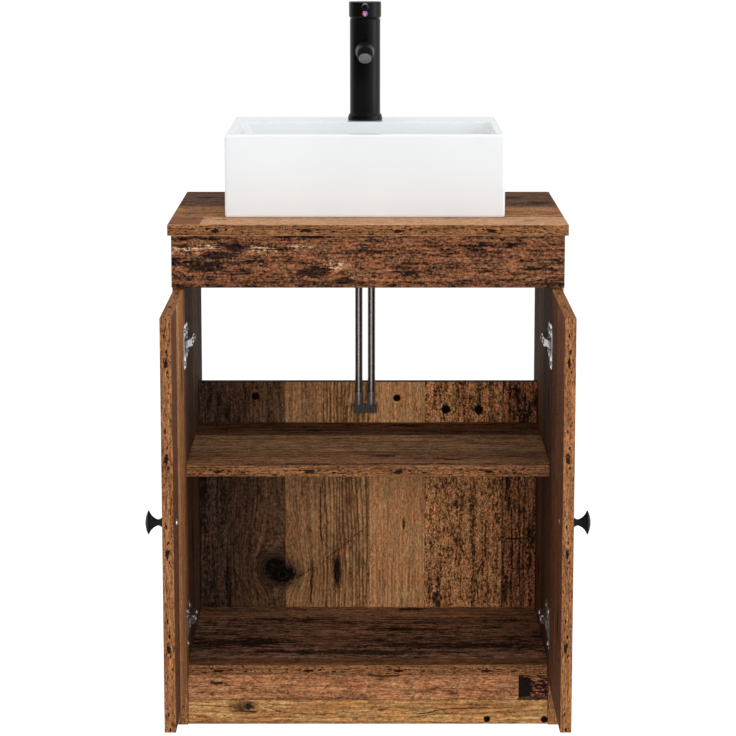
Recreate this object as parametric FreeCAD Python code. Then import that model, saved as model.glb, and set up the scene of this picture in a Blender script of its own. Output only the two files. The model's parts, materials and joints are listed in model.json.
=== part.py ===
import FreeCAD, Part
import math
import os

# Vanity cabinet: a reclaimed-wood carcass with two doors on concealed hinges,
# a ceramic basin, a single-lever mixer tap and two flexible supply hoses.
# Millimetres, +Z up, front towards -Y, +X to the right seen from the front.
# The origin is on the floor, at the middle of the plinth's lower edge.

# Boards and carcass
board = 16.0
edge_ease = 0.6
top_width = 580.0
top_depth = 450.0
top_height = 755.0
top_side_overhang = 5.0
top_front_overhang = 5.0
apron_height = 76.5
plinth_height = 76.5
plinth_setback = 4.0
shelf_height = 395.5
inner_depth = 340.0
back_panel_height = 461.0
rear_rail_height = 76.5
dowel_radius = 4.0
dowel_half_length = 11.0
panel_dowel_share = 0.2
board_dowel_share = 0.25
joint_clearance = 0.05
touch = 0.01
wall_hole_radius = 3.0
wall_hole_spacing = 400.0

# Doors
door_width = 282.5
door_reveal = 1.0
door_top_gap = 2.5
door_bottom_gap = 0.5
door_proud = 3.0
door_edge_radius = 1.2
hinge_end_distance = 82.0

# Concealed hinges
pin_inset = 8.5
pin_setback = 3.0
pin_radius = 1.25
pin_half_length = 8.6
running_clearance = 0.05
cup_radius = 17.5
cup_wall = 0.8
cup_floor = 0.5
cup_depth = 13.2
cup_edge_distance = 20.5
flange_thickness = 1.0
flange_height = 64.0
flange_free_reach = 14.0
flange_hinge_reach = 3.0
flange_corner = 5.0
cup_screw_spacing = 48.0
cup_screw_offset = 6.0
lug_inner = 5.4
lug_width = 5.4
eye_radius = 2.45
neck_width = 10.0
neck_thickness = 2.0
neck_reach = 11.8
arm_width = 12.5
arm_wall = 1.2
arm_length = 62.0
arm_rise = 9.0
plate_thickness = 2.0
plate_wing_height = 52.0
plate_wing_width = 17.0
plate_wing_round = 7.65
plate_line = 37.0
plate_screw_spacing = 32.0
rib_width = 9.6

# Screws
small_screw_radius = 1.75
small_head_radius = 3.6
small_head_height = 1.6
small_screw_length = 12.0
screw_rim_share = 0.35
screw_dome_share = 0.7
clamp_screw_radius = 2.4
clamp_head_radius = 4.0
clamp_head_height = 2.0
bracket_width = 16.0
bracket_leg = 40.0
bracket_thickness = 2.0
bracket_screw_reach = 26.0
bracket_first = 100.0
bracket_spacing = 230.0

# Knobs
knob_radius = 16.7
knob_length = 26.2
knob_rim = 21.7
knob_neck_radius = 4.4
knob_waist_height = 9.0
knob_neck_share = 0.16
knob_flare_share = 0.28
knob_base_radius = 10.5
knob_base_height = 1.8
knob_rim_round = 0.8
knob_edge_distance = 45.0
knob_below_middle = 2.3
knob_screw_radius = 2.0
knob_screw_head_radius = 4.2
knob_screw_head_height = 2.2
knob_thread_depth = 11.0

# Basin
basin_width = 412.5
basin_depth = 332.0
basin_height = 123.0
basin_x = -4.5
basin_setback = 84.7
basin_round = 4.5
basin_wall = 11.0
rim_width = 12.0
deck_depth = 103.0
bowl_depth = 95.0
bowl_side_draft = 42.0
bowl_end_draft = 36.0
bowl_top_corner = 14.0
bowl_floor_corner = 26.0
bowl_floor_round = 12.0
rim_round = 2.5

# Waste
waste_hole_radius = 23.0
waste_tail_radius = 20.95
waste_bore_radius = 17.5
waste_flange_radius = 32.0
waste_flange_thickness = 2.5
waste_flange_edge = 0.8
waste_flange_slope = 2.0
waste_mouth_width = 4.0
waste_mouth_depth = 1.5
waste_tail_length = 93.0
waste_thread_length = 45.0
waste_groove_width = 2.0
waste_groove_depth = 1.0
waste_seal_radius = 29.0
waste_seal_thickness = 4.0
waste_nut_radius = 28.0
waste_nut_height = 9.0
spoke_drop = 26.0
spoke_height = 5.0
spoke_width = 4.0
spoke_root = 1.0
plug_stem_radius = 4.0
plug_boss_radius = 7.0
plug_radius = 29.0
plug_edge = 2.2
plug_dome = 3.2
plug_shoulder_share = 0.6
plug_shoulder_rise = 2.4
plug_seat_gap = 0.3
plug_stem_length = 36.0
service_hole_radius = 33.0

# Mixer tap
tap_from_basin_rear = 61.7
tap_hole_radius = 18.5
tap_gasket_thickness = 2.0
tap_gasket_radius = 26.4
tap_radius = 23.6
tap_foot_radius = 26.9
tap_ring_radius = 26.1
tap_ring_height = 5.3
tap_foot_height = 9.2
tap_body_height = 157.4
tap_shoulder_width = 0.8
tap_shoulder_height = 2.0
cartridge_radius = 16.5
cartridge_height = 36.0
cartridge_nut_height = 8.0
cartridge_nut_bore = 11.0
spindle_radius = 5.0
spindle_depth = 12.0
head_gap = 0.7
head_radius = 25.0
head_height = 25.1
head_chamfer_width = 1.5
head_chamfer_height = 2.8
head_edge = 0.8
pivot_rise = 5.0
dome_radius = 21.0
dome_crown = 12.0
dome_foot_gap = 0.4
dome_clearance = 0.3
head_roof = 17.5
pivot_pin_radius = 2.0
pivot_pin_reach = 23.4
lift_angle = 20.0
lever_radius = 6.0
lever_tip_radius = 4.9
lever_tip_chamfer = 1.2
lever_length = 36.0
lever_below_top = 7.0
lever_socket = 3.0
mark_radius = 4.3
mark_below_top = 17.7
mark_depth = 1.5
mark_proud = 0.25
spout_rise = 108.5
spout_reach = 99.0
spout_root_radius = 16.2
spout_knee_radius = 12.6
spout_knee_bevel = 2.0
spout_drop_angle = 38.0
nozzle_length = 11.0
nozzle_radius = 11.4
nozzle_lip = 0.8
aerator_radius = 9.9
aerator_bore_radius = 8.0
aerator_depth = 8.0
aerator_proud = 0.4
aerator_screen = 0.8
stud_radius = 4.0
stud_offset = 10.5
stud_length = 62.0
stud_thread_depth = 10.0
clamp_radius = 23.0
clamp_rubber_thickness = 3.0
clamp_plate_thickness = 2.0
clamp_slot_gap = 0.5
stud_nut_flats = 13.0
stud_nut_height = 10.0

# Supply hoses
hose_radius = 6.0
hose_spacing = 20.0
hose_wall_gap = 11.0
hose_tail_radius = 5.0
hose_tail_length = 10.0
hose_tail_insert = 8.0
crimp_radius = 6.6
crimp_length = 19.6
nut_flats = 18.0
nut_height = 13.5
nut_above_shelf = 18.5
nut_thread_radius = 7.6
nut_thread_depth = 8.0
nut_relief_radius = 7.9
spigot_radius = 4.4
collar_thickness = 2.0
collar_radius = 7.0

X = FreeCAD.Vector(1, 0, 0)
Y = FreeCAD.Vector(0, 1, 0)
Z = FreeCAD.Vector(0, 0, 1)
ORIGIN = FreeCAD.Vector(0, 0, 0)


def point(x, y, z):
    return FreeCAD.Vector(x, y, z)


def box(x0, x1, y0, y1, z0, z1):
    return Part.makeBox(x1 - x0, y1 - y0, z1 - z0, point(x0, y0, z0))


def rod(start, direction, radius, length):
    return Part.makeCylinder(radius, length, start, direction)


def eased_board(x0, x1, y0, y1, z0, z1):
    blank = box(x0, x1, y0, y1, z0, z1)
    return blank.makeChamfer(edge_ease, blank.Edges)


def turned(profile, base, direction):
    """Solid of revolution from (radius, height) points, standing at base along direction."""
    outline = [point(r, 0, h) for r, h in profile]
    face = Part.Face(Part.makePolygon(outline + outline[:1]))
    solid = face.revolve(ORIGIN, Z, 360)
    solid.Placement = FreeCAD.Placement(base, FreeCAD.Rotation(Z, direction))
    return solid


def screw(seat, direction, radius, length, head_radius, head_height):
    """Pan-head screw whose head sits on seat and whose shank runs along direction."""
    rim = screw_rim_share * head_height
    dome = screw_dome_share * head_radius
    profile = [(0, -head_height), (dome, -head_height), (head_radius, -rim), (head_radius, 0),
               (radius, 0), (radius, length - radius), (0, length)]
    return turned(profile, seat, direction)


def screw_hole(seat, direction, radius, length):
    return rod(seat, direction, radius + joint_clearance, length + joint_clearance)


def hexagon(base, flats, height, turn):
    """Hexagonal prism standing on base, with its first corner at the angle turn."""
    reach = flats / math.sqrt(3)
    angles = [math.radians(turn + 60 * i) for i in range(6)]
    corners = [base + point(reach * math.cos(a), reach * math.sin(a), 0) for a in angles]
    return Part.Face(Part.makePolygon(corners + corners[:1])).extrude(Z * height)


def rounded_rectangle(cx, cy, z, width, depth, corner):
    """Closed wire of a level rectangle with rounded corners."""
    blank = box(cx - width / 2, cx + width / 2, cy - depth / 2, cy + depth / 2, z, z + 1)
    uprights = [e for e in blank.Edges if abs(e.tangentAt(e.FirstParameter).z) > 0.5]
    rounded = blank.makeFillet(corner, uprights)
    return min(rounded.Faces, key=lambda f: f.CenterOfMass.z).OuterWire


def mirrored(shape):
    return shape.mirror(ORIGIN, X)


def keep(node, *solids):
    shape = solids[0] if len(solids) == 1 else Part.makeCompound(list(solids))
    shape.exportStep("parts/" + node + ".step")


os.makedirs("parts", exist_ok=True)

# Places worked out from the driving dimensions
half_width = top_width / 2 - top_side_overhang
inner_half = half_width - board
side_front = -board / 2 - plinth_setback
apron_front = side_front - board
top_front = apron_front - top_front_overhang
rear = top_front + top_depth
top_under = top_height - board
apron_bottom = top_under - apron_height
back_front = side_front + inner_depth
bottom_top = plinth_height + board
door_bottom = plinth_height + door_bottom_gap
door_top = apron_bottom - door_top_gap
hinge_heights = (door_bottom + hinge_end_distance, door_top - hinge_end_distance)
knob_height = (door_bottom + door_top) / 2 - knob_below_middle

pin_x = -half_width + pin_inset
pin_y = apron_front + pin_setback
door_outer = pin_x - pin_setback - door_proud
door_inner = door_outer + board
door_hinge_edge = pin_y + pin_inset - door_reveal
door_free_edge = door_hinge_edge - door_width
cup_y = door_hinge_edge - cup_edge_distance

basin_front = top_front + basin_setback
basin_rear = basin_front + basin_depth
basin_top = top_height + basin_height
bowl_front = basin_front + rim_width
bowl_rear = basin_rear - deck_depth
bowl_y = (bowl_front + bowl_rear) / 2
bowl_width = basin_width - 2 * rim_width
bowl_floor = basin_top - bowl_depth
floor_under = bowl_floor - basin_wall
tap_y = basin_rear - tap_from_basin_rear
hose_y = back_front - hose_wall_gap
deck_under = basin_top - basin_wall


# Dowels: each has its centre on the joint face and a direction across it

def dowel_places():
    places = []
    spans = {
        plinth_height + board / 2: (side_front, back_front),
        shelf_height - board / 2: (side_front, back_front),
    }
    for side in (-1, 1):
        for z, (near, far) in spans.items():
            for share in (panel_dowel_share, 1 - panel_dowel_share):
                places.append((point(side * inner_half, near + share * (far - near), z), X))
        for share in (board_dowel_share, 1 - board_dowel_share):
            back_z = bottom_top + share * (back_panel_height - bottom_top)
            places.append((point(side * inner_half, back_front + board / 2, back_z), X))
            rail_z = top_under - rear_rail_height * share
            places.append((point(side * inner_half, rear - board / 2, rail_z), X))
            places.append((point(side * inner_half, 0, plinth_height * share), X))
            apron_z = top_under - apron_height * share
            places.append((point(side * (half_width - board / 2), side_front, apron_z), Y))
    return places


def dowel(centre, direction):
    tip = dowel_radius / 4
    length = 2 * dowel_half_length
    profile = [(0, 0), (dowel_radius - tip, 0), (dowel_radius, tip), (dowel_radius, length - tip),
               (dowel_radius - tip, length), (0, length)]
    return turned(profile, centre - direction * dowel_half_length, direction)


def dowel_hole(centre, direction):
    reach = dowel_half_length + joint_clearance
    return rod(centre - direction * reach, direction, dowel_radius + joint_clearance, 2 * reach)


dowels = [dowel(*place) for place in dowel_places()]
dowel_holes = Part.makeCompound([dowel_hole(*place) for place in dowel_places()])


# Concealed hinges of the left side, one set per height

def hinge_strip(outline, z, width):
    """Strip of sheet metal: an outline in plan, centred on the height z."""
    corners = [point(x, y, z - width / 2) for x, y in outline]
    return Part.Face(Part.makePolygon(corners + corners[:1])).extrude(Z * width)


def hinge_cup(z):
    mouth = point(door_inner, cup_y, z)
    shell = rod(mouth, -X, cup_radius, cup_depth)
    free_side = cup_y - flange_free_reach - cup_screw_offset
    plate = box(door_inner, door_inner + flange_thickness, free_side, pin_y + flange_hinge_reach,
                z - flange_height / 2, z + flange_height / 2)
    corners = [e for e in plate.Edges if abs(e.tangentAt(e.FirstParameter).x) > 0.5]
    plate = plate.makeFillet(flange_corner, corners)
    inside = rod(mouth + X * flange_thickness, -X, cup_radius - cup_wall,
                 cup_depth + flange_thickness - cup_floor)
    cup = shell.fuse(plate).cut(inside)
    barrel = rod(mouth, -X, cup_radius - cup_wall / 2, cup_depth)
    for side in (-1, 1):
        near, far = sorted((side * lug_inner, side * cup_radius))
        lug = box(door_inner - cup_depth + cup_floor / 2, pin_x + lug_width / 2,
                  pin_y - lug_width / 2, cup_y + cup_radius, z + near, z + far)
        cup = cup.fuse(lug.common(barrel))
    pin_hole = rod(point(pin_x, pin_y, z - pin_half_length), Z, pin_radius + joint_clearance,
                   2 * pin_half_length)
    for seat, direction in cup_screw_places(z):
        cup = cup.cut(screw_hole(seat, direction, small_screw_radius, flange_thickness))
    return cup.cut(pin_hole).removeSplitter()


def cup_screw_places(z):
    y = cup_y - cup_screw_offset
    reach = cup_screw_spacing / 2
    return [(point(door_inner + flange_thickness, y, z + dz), -X) for dz in (-reach, reach)]


def hinge_pin(z):
    return rod(point(pin_x, pin_y, z - pin_half_length), Z, pin_radius, 2 * pin_half_length)


neck_inner = pin_x + neck_reach
neck_outer = neck_inner + neck_thickness
arm_under = -inner_half + arm_rise
arm_top = arm_under + neck_thickness
arm_start = side_front + arm_width
arm_end = arm_start + arm_length - arm_width


def hinge_arm(z):
    half = neck_thickness / 2
    step = side_front + half
    neck = hinge_strip([(pin_x, pin_y - half), (neck_outer, pin_y - half), (neck_outer, step),
                        (arm_top, arm_start), (arm_top, arm_end), (arm_under, arm_end),
                        (arm_under, arm_start), (neck_inner, step + half), (neck_inner, pin_y + half),
                        (pin_x, pin_y + half)], z, neck_width)
    eye = rod(point(pin_x, pin_y, z - neck_width / 2), Z, eye_radius, neck_width)
    arm = neck.fuse(eye)
    half_arm = arm_width / 2
    cheek_foot = -inner_half + plate_thickness + arm_wall
    arm = arm.fuse(box(arm_under, arm_top, arm_start, arm_end, z - half_arm, z + half_arm))
    for side in (-1, 1):
        low, high = sorted((z + side * half_arm, z + side * (half_arm - arm_wall)))
        arm = arm.fuse(box(cheek_foot, arm_top, arm_start, arm_end, low, high))
    pin_start = point(pin_x, pin_y, z - neck_width)
    arm = arm.cut(rod(pin_start, Z, pin_radius + running_clearance, 2 * neck_width))
    for seat, direction in arm_screw_places(z):
        arm = arm.cut(screw_hole(seat, direction, clamp_screw_radius, neck_thickness))
    return arm.removeSplitter()


def arm_screw_places(z):
    first = arm_start + arm_width / 2
    last = arm_end - arm_width / 2
    return [(point(arm_top, y, z), -X) for y in (first, last)]


arm_screw_length = neck_thickness + arm_rise - plate_thickness - joint_clearance


def hinge_plate(z):
    line = side_front + plate_line
    rib_half = rib_width / 2
    wing = box(-inner_half, -inner_half + plate_thickness, line - plate_wing_width / 2,
               line + plate_wing_width / 2, z - plate_wing_height / 2, z + plate_wing_height / 2)
    ends = [e for e in wing.Edges if abs(e.tangentAt(e.FirstParameter).x) > 0.5]
    wing = wing.makeFillet(plate_wing_round, ends)
    rib = box(-inner_half, arm_under, arm_start, arm_end, z - rib_half, z + rib_half)
    plate = wing.fuse(rib)
    for seat, direction in plate_screw_places(z):
        plate = plate.cut(screw_hole(seat, direction, small_screw_radius, plate_thickness))
    for seat, direction in arm_screw_places(z):
        plate = plate.cut(screw_hole(seat, direction, clamp_screw_radius, arm_screw_length))
    return plate.removeSplitter()


def plate_screw_places(z):
    x = -inner_half + plate_thickness
    reach = plate_screw_spacing / 2
    return [(point(x, side_front + plate_line, z + dz), -X) for dz in (-reach, reach)]


def small_screw(seat, direction):
    return screw(seat, direction, small_screw_radius, small_screw_length, small_head_radius,
                 small_head_height)


def small_screw_hole(seat, direction):
    return screw_hole(seat, direction, small_screw_radius, small_screw_length)


# Angle brackets that hold the countertop to the left side panel

def bracket_places():
    return [side_front + bracket_first + i * bracket_spacing for i in range(2)]


def bracket_screw_places(y):
    wall = -inner_half + bracket_thickness
    ceiling = top_under - bracket_thickness
    return [(point(wall, y, top_under - bracket_screw_reach), -X),
            (point(-inner_half + bracket_screw_reach, y, ceiling), Z)]


def bracket(y):
    y0 = y - bracket_width / 2
    y1 = y + bracket_width / 2
    wall = -inner_half
    upright = box(wall, wall + bracket_thickness, y0, y1, top_under - bracket_leg, top_under)
    level = box(wall, wall + bracket_leg, y0, y1, top_under - bracket_thickness, top_under)
    solid = upright.fuse(level).removeSplitter()
    for seat, direction in bracket_screw_places(y):
        solid = solid.cut(screw_hole(seat, direction, small_screw_radius, bracket_thickness))
    return solid


carcass_screw_places = [place for y in bracket_places() for place in bracket_screw_places(y)]
hinge_screw_places = [place for z in hinge_heights for place in plate_screw_places(z)]
left_pilots = [small_screw_hole(*place) for place in carcass_screw_places + hinge_screw_places]
pilot_holes = Part.makeCompound(left_pilots + [mirrored(hole) for hole in left_pilots])

# Carcass boards
side_panel = eased_board(-half_width, -inner_half, side_front, rear, 0, top_under)
side_panel = side_panel.cut(dowel_holes).cut(pilot_holes)
keep("left_side_panel", side_panel)
keep("right_side_panel", mirrored(side_panel))

keep("bottom_panel", eased_board(-inner_half, inner_half, side_front, back_front, plinth_height,
                                 bottom_top).cut(dowel_holes))
keep("shelf", eased_board(-inner_half, inner_half, side_front, back_front, shelf_height - board,
                          shelf_height).cut(dowel_holes))
keep("back_panel", eased_board(-inner_half, inner_half, back_front, back_front + board, plinth_height,
                               back_panel_height).cut(dowel_holes))
keep("front_apron", eased_board(-half_width, half_width, apron_front, side_front, apron_bottom,
                                top_under).cut(dowel_holes))
keep("plinth", eased_board(-inner_half, inner_half, -board / 2, board / 2, 0,
                           plinth_height).cut(dowel_holes))

rear_rail = eased_board(-inner_half, inner_half, rear - board, rear, top_under - rear_rail_height,
                        top_under)
for wall_x in (-wall_hole_spacing / 2, wall_hole_spacing / 2):
    wall_start = point(wall_x, rear - board, top_under - rear_rail_height / 2)
    rear_rail = rear_rail.cut(rod(wall_start, Y, wall_hole_radius, board))
keep("rear_rail", rear_rail.cut(dowel_holes))

countertop = eased_board(-top_width / 2, top_width / 2, top_front, rear, top_under, top_height)
for hole_y in (bowl_y, tap_y):
    countertop = countertop.cut(rod(point(basin_x, hole_y, top_under), Z, service_hole_radius, board))
keep("countertop", countertop.cut(pilot_holes))
keep("carcass_dowels", *dowels)

left_brackets = [bracket(y) for y in bracket_places()]
left_bracket_screws = [small_screw(*place) for place in carcass_screw_places]
keep("top_brackets", *left_brackets, *[mirrored(s) for s in left_brackets])
keep("top_bracket_screws", *left_bracket_screws, *[mirrored(s) for s in left_bracket_screws])

# Hinge arms and plates stay on the carcass
left_plates = [hinge_plate(z) for z in hinge_heights]
left_arms = [hinge_arm(z) for z in hinge_heights]
left_plate_screws = [small_screw(*place) for place in hinge_screw_places]
left_arm_screws = [screw(seat, direction, clamp_screw_radius, arm_screw_length, clamp_head_radius,
                         clamp_head_height)
                   for z in hinge_heights for seat, direction in arm_screw_places(z)]
keep("left_hinge_plates", *left_plates)
keep("right_hinge_plates", *[mirrored(s) for s in left_plates])
keep("left_hinge_arms", *left_arms)
keep("right_hinge_arms", *[mirrored(s) for s in left_arms])
keep("hinge_plate_screws", *left_plate_screws, *[mirrored(s) for s in left_plate_screws])
keep("hinge_arm_screws", *left_arm_screws, *[mirrored(s) for s in left_arm_screws])

# Doors stand open at a right angle, with cups, pins, knob and their screws
cup_screws = [place for z in hinge_heights for place in cup_screw_places(z)]
knob_seat = point(door_outer, door_free_edge + knob_edge_distance, knob_height)
knob_screw_seat = knob_seat + X * board
knob_screw_length = board + knob_thread_depth

door = box(door_outer, door_inner, door_free_edge, door_hinge_edge, door_bottom, door_top)
door = door.makeFillet(door_edge_radius, door.Edges)
for z in hinge_heights:
    door = door.cut(rod(point(door_inner, cup_y, z), -X, cup_radius + joint_clearance,
                        cup_depth + joint_clearance))
for place in cup_screws:
    door = door.cut(small_screw_hole(*place))
door = door.cut(screw_hole(knob_screw_seat, -X, knob_screw_radius, board))

# Knob: a flared base, a waisted neck and a broad head with a rounded rim and a shallow dome
dome_edge_radius = knob_radius - knob_rim_round
dome_height = knob_length - knob_rim - knob_rim_round
dome_curve = (dome_edge_radius ** 2 + dome_height ** 2) / (2 * dome_height)


def knob_profile():
    """Half outline of the knob, with arcs for the waist, the flare, the rim and the dome."""
    base_edge = point(knob_base_radius, 0, 0)
    base_top = point(knob_base_radius, 0, knob_base_height)
    waist = point(knob_neck_radius, 0, knob_waist_height)
    under_rim = point(dome_edge_radius, 0, knob_rim - knob_rim_round)
    rim = point(knob_radius, 0, knob_rim)
    dome_edge = point(dome_edge_radius, 0, knob_rim + knob_rim_round)
    crown = point(0, 0, knob_length)
    dome_angle = math.asin(dome_edge_radius / dome_curve) / 2
    dome_middle = point(dome_curve * math.sin(dome_angle), 0,
                        knob_length - dome_curve * (1 - math.cos(dome_angle)))
    neck_middle = point(waist.x + knob_neck_share * (base_top.x - waist.x), 0, (base_top.z + waist.z) / 2)
    flare_middle = point(waist.x + knob_flare_share * (under_rim.x - waist.x), 0,
                         (waist.z + under_rim.z) / 2)
    return Part.Wire([
        Part.makeLine(ORIGIN, base_edge),
        Part.makeLine(base_edge, base_top),
        Part.Arc(base_top, neck_middle, waist).toShape(),
        Part.Arc(waist, flare_middle, under_rim).toShape(),
        Part.Arc(under_rim, rim, dome_edge).toShape(),
        Part.Arc(dome_edge, dome_middle, crown).toShape(),
        Part.makeLine(crown, ORIGIN),
    ])


knob = Part.Face(knob_profile()).revolve(ORIGIN, Z, 360)
knob.Placement = FreeCAD.Placement(knob_seat, FreeCAD.Rotation(Z, -X))
knob = knob.cut(screw_hole(knob_seat, -X, knob_screw_radius, knob_thread_depth))
knob_screw = screw(knob_screw_seat, -X, knob_screw_radius, knob_screw_length, knob_screw_head_radius,
                   knob_screw_head_height)

left_door_parts = {
    "door": [door],
    "hinge_cups": [hinge_cup(z) for z in hinge_heights],
    "hinge_pins": [hinge_pin(z) for z in hinge_heights],
    "cup_screws": [small_screw(*place) for place in cup_screws],
    "knob": [knob],
    "knob_screw": [knob_screw],
}
for name, solids in left_door_parts.items():
    keep("left_" + name, *solids)
    keep("right_" + name, *[mirrored(s) for s in solids])


# Basin: a slip-cast shell with a tapered bowl, a rear tap deck and an open underside

def bowl_solid(grow):
    """The bowl's space, grown by a wall thickness all round."""
    width = bowl_width + 2 * grow
    depth = bowl_rear - bowl_front + 2 * grow
    top = rounded_rectangle(basin_x, bowl_y, basin_top, width, depth, bowl_top_corner + grow)
    low = rounded_rectangle(basin_x, bowl_y, bowl_floor - grow, width - 2 * bowl_side_draft,
                            depth - 2 * bowl_end_draft, bowl_floor_corner + grow)
    solid = Part.makeLoft([low, top], True, True)
    if grow:
        return solid
    floor_edges = [e for e in solid.Edges if abs(e.CenterOfMass.z - bowl_floor) < touch]
    return solid.makeFillet(bowl_floor_round, floor_edges)


basin_left = basin_x - basin_width / 2
basin_right = basin_x + basin_width / 2
basin = box(basin_left, basin_right, basin_front, basin_rear, top_height, basin_top)
basin = basin.makeFillet(basin_round, basin.Edges)
basin = basin.cut(bowl_solid(0))


def on_bowl_rim(edge):
    middle = edge.CenterOfMass
    level = abs(middle.z - basin_top) < touch
    across = abs(middle.x - basin_x) < bowl_width / 2 + touch
    return level and across and bowl_front - touch < middle.y < bowl_rear + touch


basin = basin.makeFillet(rim_round, [e for e in basin.Edges if on_bowl_rim(e)])
hollow = box(basin_left + basin_wall, basin_right - basin_wall, basin_front + basin_wall,
             basin_rear - basin_wall, top_height, deck_under).cut(bowl_solid(basin_wall))
basin = basin.cut(hollow)
basin = basin.cut(rod(point(basin_x, tap_y, top_height), Z, tap_hole_radius, basin_height))
basin = basin.cut(rod(point(basin_x, bowl_y, top_height), Z, waste_hole_radius, basin_height))
keep("basin", basin)

# Waste: flanged tail, seal and nut under the bowl, and a push plug on a central stem
waste_axis = point(basin_x, bowl_y, bowl_floor)
groove_bottom = waste_thread_length - waste_tail_length
groove_top = groove_bottom + waste_groove_width
groove_radius = waste_tail_radius - waste_groove_depth
waste = turned([
    (waste_bore_radius, waste_flange_thickness - waste_mouth_depth),
    (waste_bore_radius + waste_mouth_width, waste_flange_thickness),
    (waste_flange_radius - waste_flange_slope, waste_flange_thickness),
    (waste_flange_radius, waste_flange_edge),
    (waste_flange_radius, 0),
    (waste_tail_radius, 0),
    (waste_tail_radius, groove_top),
    (groove_radius, groove_top),
    (groove_radius, groove_bottom),
    (waste_tail_radius, groove_bottom),
    (waste_tail_radius, -waste_tail_length),
    (waste_bore_radius, -waste_tail_length),
], waste_axis, Z)
boss_base = waste_axis - Z * (spoke_drop + spoke_height)
boss = rod(boss_base, Z, plug_boss_radius, spoke_height)
for turn in range(3):
    spoke = box(0, waste_bore_radius + spoke_root, -spoke_width / 2, spoke_width / 2, 0, spoke_height)
    spoke.Placement = FreeCAD.Placement(boss_base, FreeCAD.Rotation(Z, 90 + 120 * turn))
    boss = boss.fuse(spoke)
waste = waste.fuse(boss).cut(rod(boss_base, Z, plug_stem_radius + running_clearance, spoke_height))
keep("waste_body", waste.removeSplitter())

seal_base = point(basin_x, bowl_y, floor_under - waste_seal_thickness)
seal = rod(seal_base, Z, waste_seal_radius, waste_seal_thickness)
seal = seal.cut(rod(seal_base, Z, waste_tail_radius + joint_clearance, waste_seal_thickness))
keep("waste_seal", seal)
nut_base = seal_base - Z * waste_nut_height
waste_nut = hexagon(nut_base, 2 * waste_nut_radius, waste_nut_height, 0)
waste_nut = waste_nut.cut(rod(nut_base, Z, waste_tail_radius + joint_clearance, waste_nut_height))
keep("waste_nut", waste_nut)

plug_base = point(basin_x, bowl_y, bowl_floor + waste_flange_thickness + plug_seat_gap)
keep("waste_plug", turned([
    (0, -plug_stem_length),
    (plug_stem_radius, -plug_stem_length),
    (plug_stem_radius, 0),
    (plug_radius, 0),
    (plug_radius, plug_edge),
    (plug_shoulder_share * plug_radius, plug_edge + plug_shoulder_rise),
    (0, plug_edge + plug_dome),
], plug_base, Z))

# Mixer tap: gasket, body with a bored top, spout with a nozzle, cartridge, nut and clamp under the deck
tap_seat = point(basin_x, tap_y, basin_top)
tap_foot = tap_seat + Z * tap_gasket_thickness
body_top = tap_body_height - tap_gasket_thickness
gasket = rod(tap_seat, Z, tap_gasket_radius, tap_gasket_thickness)
hose_x = [basin_x - hose_spacing / 2, basin_x + hose_spacing / 2]
stud_at = point(basin_x, tap_y + stud_offset, basin_top)
openings = [rod(point(x, hose_y, basin_top), Z, crimp_radius + running_clearance, tap_gasket_thickness)
            for x in hose_x]
openings.append(rod(stud_at, Z, stud_radius + joint_clearance, tap_gasket_thickness))
keep("tap_gasket", gasket.cut(Part.makeCompound(openings)))

tap_body = turned([(0, 0), (tap_foot_radius, 0), (tap_ring_radius, tap_ring_height),
                   (tap_radius, tap_foot_height),
                   (tap_radius, body_top - tap_shoulder_height),
                   (tap_radius - tap_shoulder_width, body_top), (0, body_top)], tap_foot, Z)
cartridge_base = tap_foot + Z * (body_top - cartridge_nut_height - cartridge_height)
tap_body = tap_body.cut(rod(cartridge_base, Z, cartridge_radius + joint_clearance,
                            cartridge_height + cartridge_nut_height))
for x in hose_x:
    tap_body = tap_body.cut(rod(point(x, hose_y, tap_foot.z), Z, hose_tail_radius + joint_clearance,
                                hose_tail_insert))
tap_body = tap_body.cut(rod(stud_at + Z * tap_gasket_thickness, Z, stud_radius + joint_clearance,
                            stud_thread_depth))

# The spout is a tapered tube with a bevelled knee and a short nozzle that points down
spout_root = tap_seat + Z * spout_rise
knee = spout_root - Y * spout_reach
drop = math.radians(spout_drop_angle)
spout_aim = point(0, -math.cos(drop), -math.sin(drop))
spout_end = knee + spout_aim * nozzle_length


def spout_section(centre, radius, tilt):
    """Round section of the spout, upright and then tilted forwards and down."""
    ring = Part.Wire([Part.makeCircle(radius, centre, Y)])
    return ring.rotate(centre, X, tilt)


spout = Part.makeLoft([
    spout_section(spout_root, spout_root_radius, 0),
    spout_section(knee + Y * spout_knee_bevel, spout_knee_radius, spout_drop_angle / 3),
    spout_section(knee + spout_aim * spout_knee_bevel, spout_knee_radius, 2 * spout_drop_angle / 3),
    spout_section(spout_end - spout_aim * nozzle_lip, nozzle_radius, spout_drop_angle),
    spout_section(spout_end, nozzle_radius - nozzle_lip, spout_drop_angle),
], True, True)
spout = spout.cut(rod(tap_foot, Z, tap_radius, body_top))
spout = spout.cut(rod(spout_end, -spout_aim, aerator_radius + joint_clearance, aerator_depth))
keep("tap_spout", spout)
keep("tap_body", tap_body)

aerator_base = spout_end - spout_aim * aerator_depth
aerator = rod(aerator_base, spout_aim, aerator_radius, aerator_depth + aerator_proud)
aerator_face = spout_end + spout_aim * aerator_proud
aerator = aerator.cut(rod(aerator_face, -spout_aim, aerator_bore_radius, aerator_screen))
keep("tap_aerator", aerator)

cartridge = rod(cartridge_base, Z, cartridge_radius, cartridge_height)
spindle_base = cartridge_base + Z * (cartridge_height - spindle_depth)
spindle_well = rod(spindle_base, Z, spindle_radius + running_clearance, spindle_depth)
keep("tap_cartridge", cartridge.cut(spindle_well))
ring_base = cartridge_base + Z * cartridge_height
ring = rod(ring_base, Z, cartridge_radius, cartridge_nut_height)
keep("tap_cartridge_nut", ring.cut(rod(ring_base, Z, cartridge_nut_bore, cartridge_nut_height)))

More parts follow.
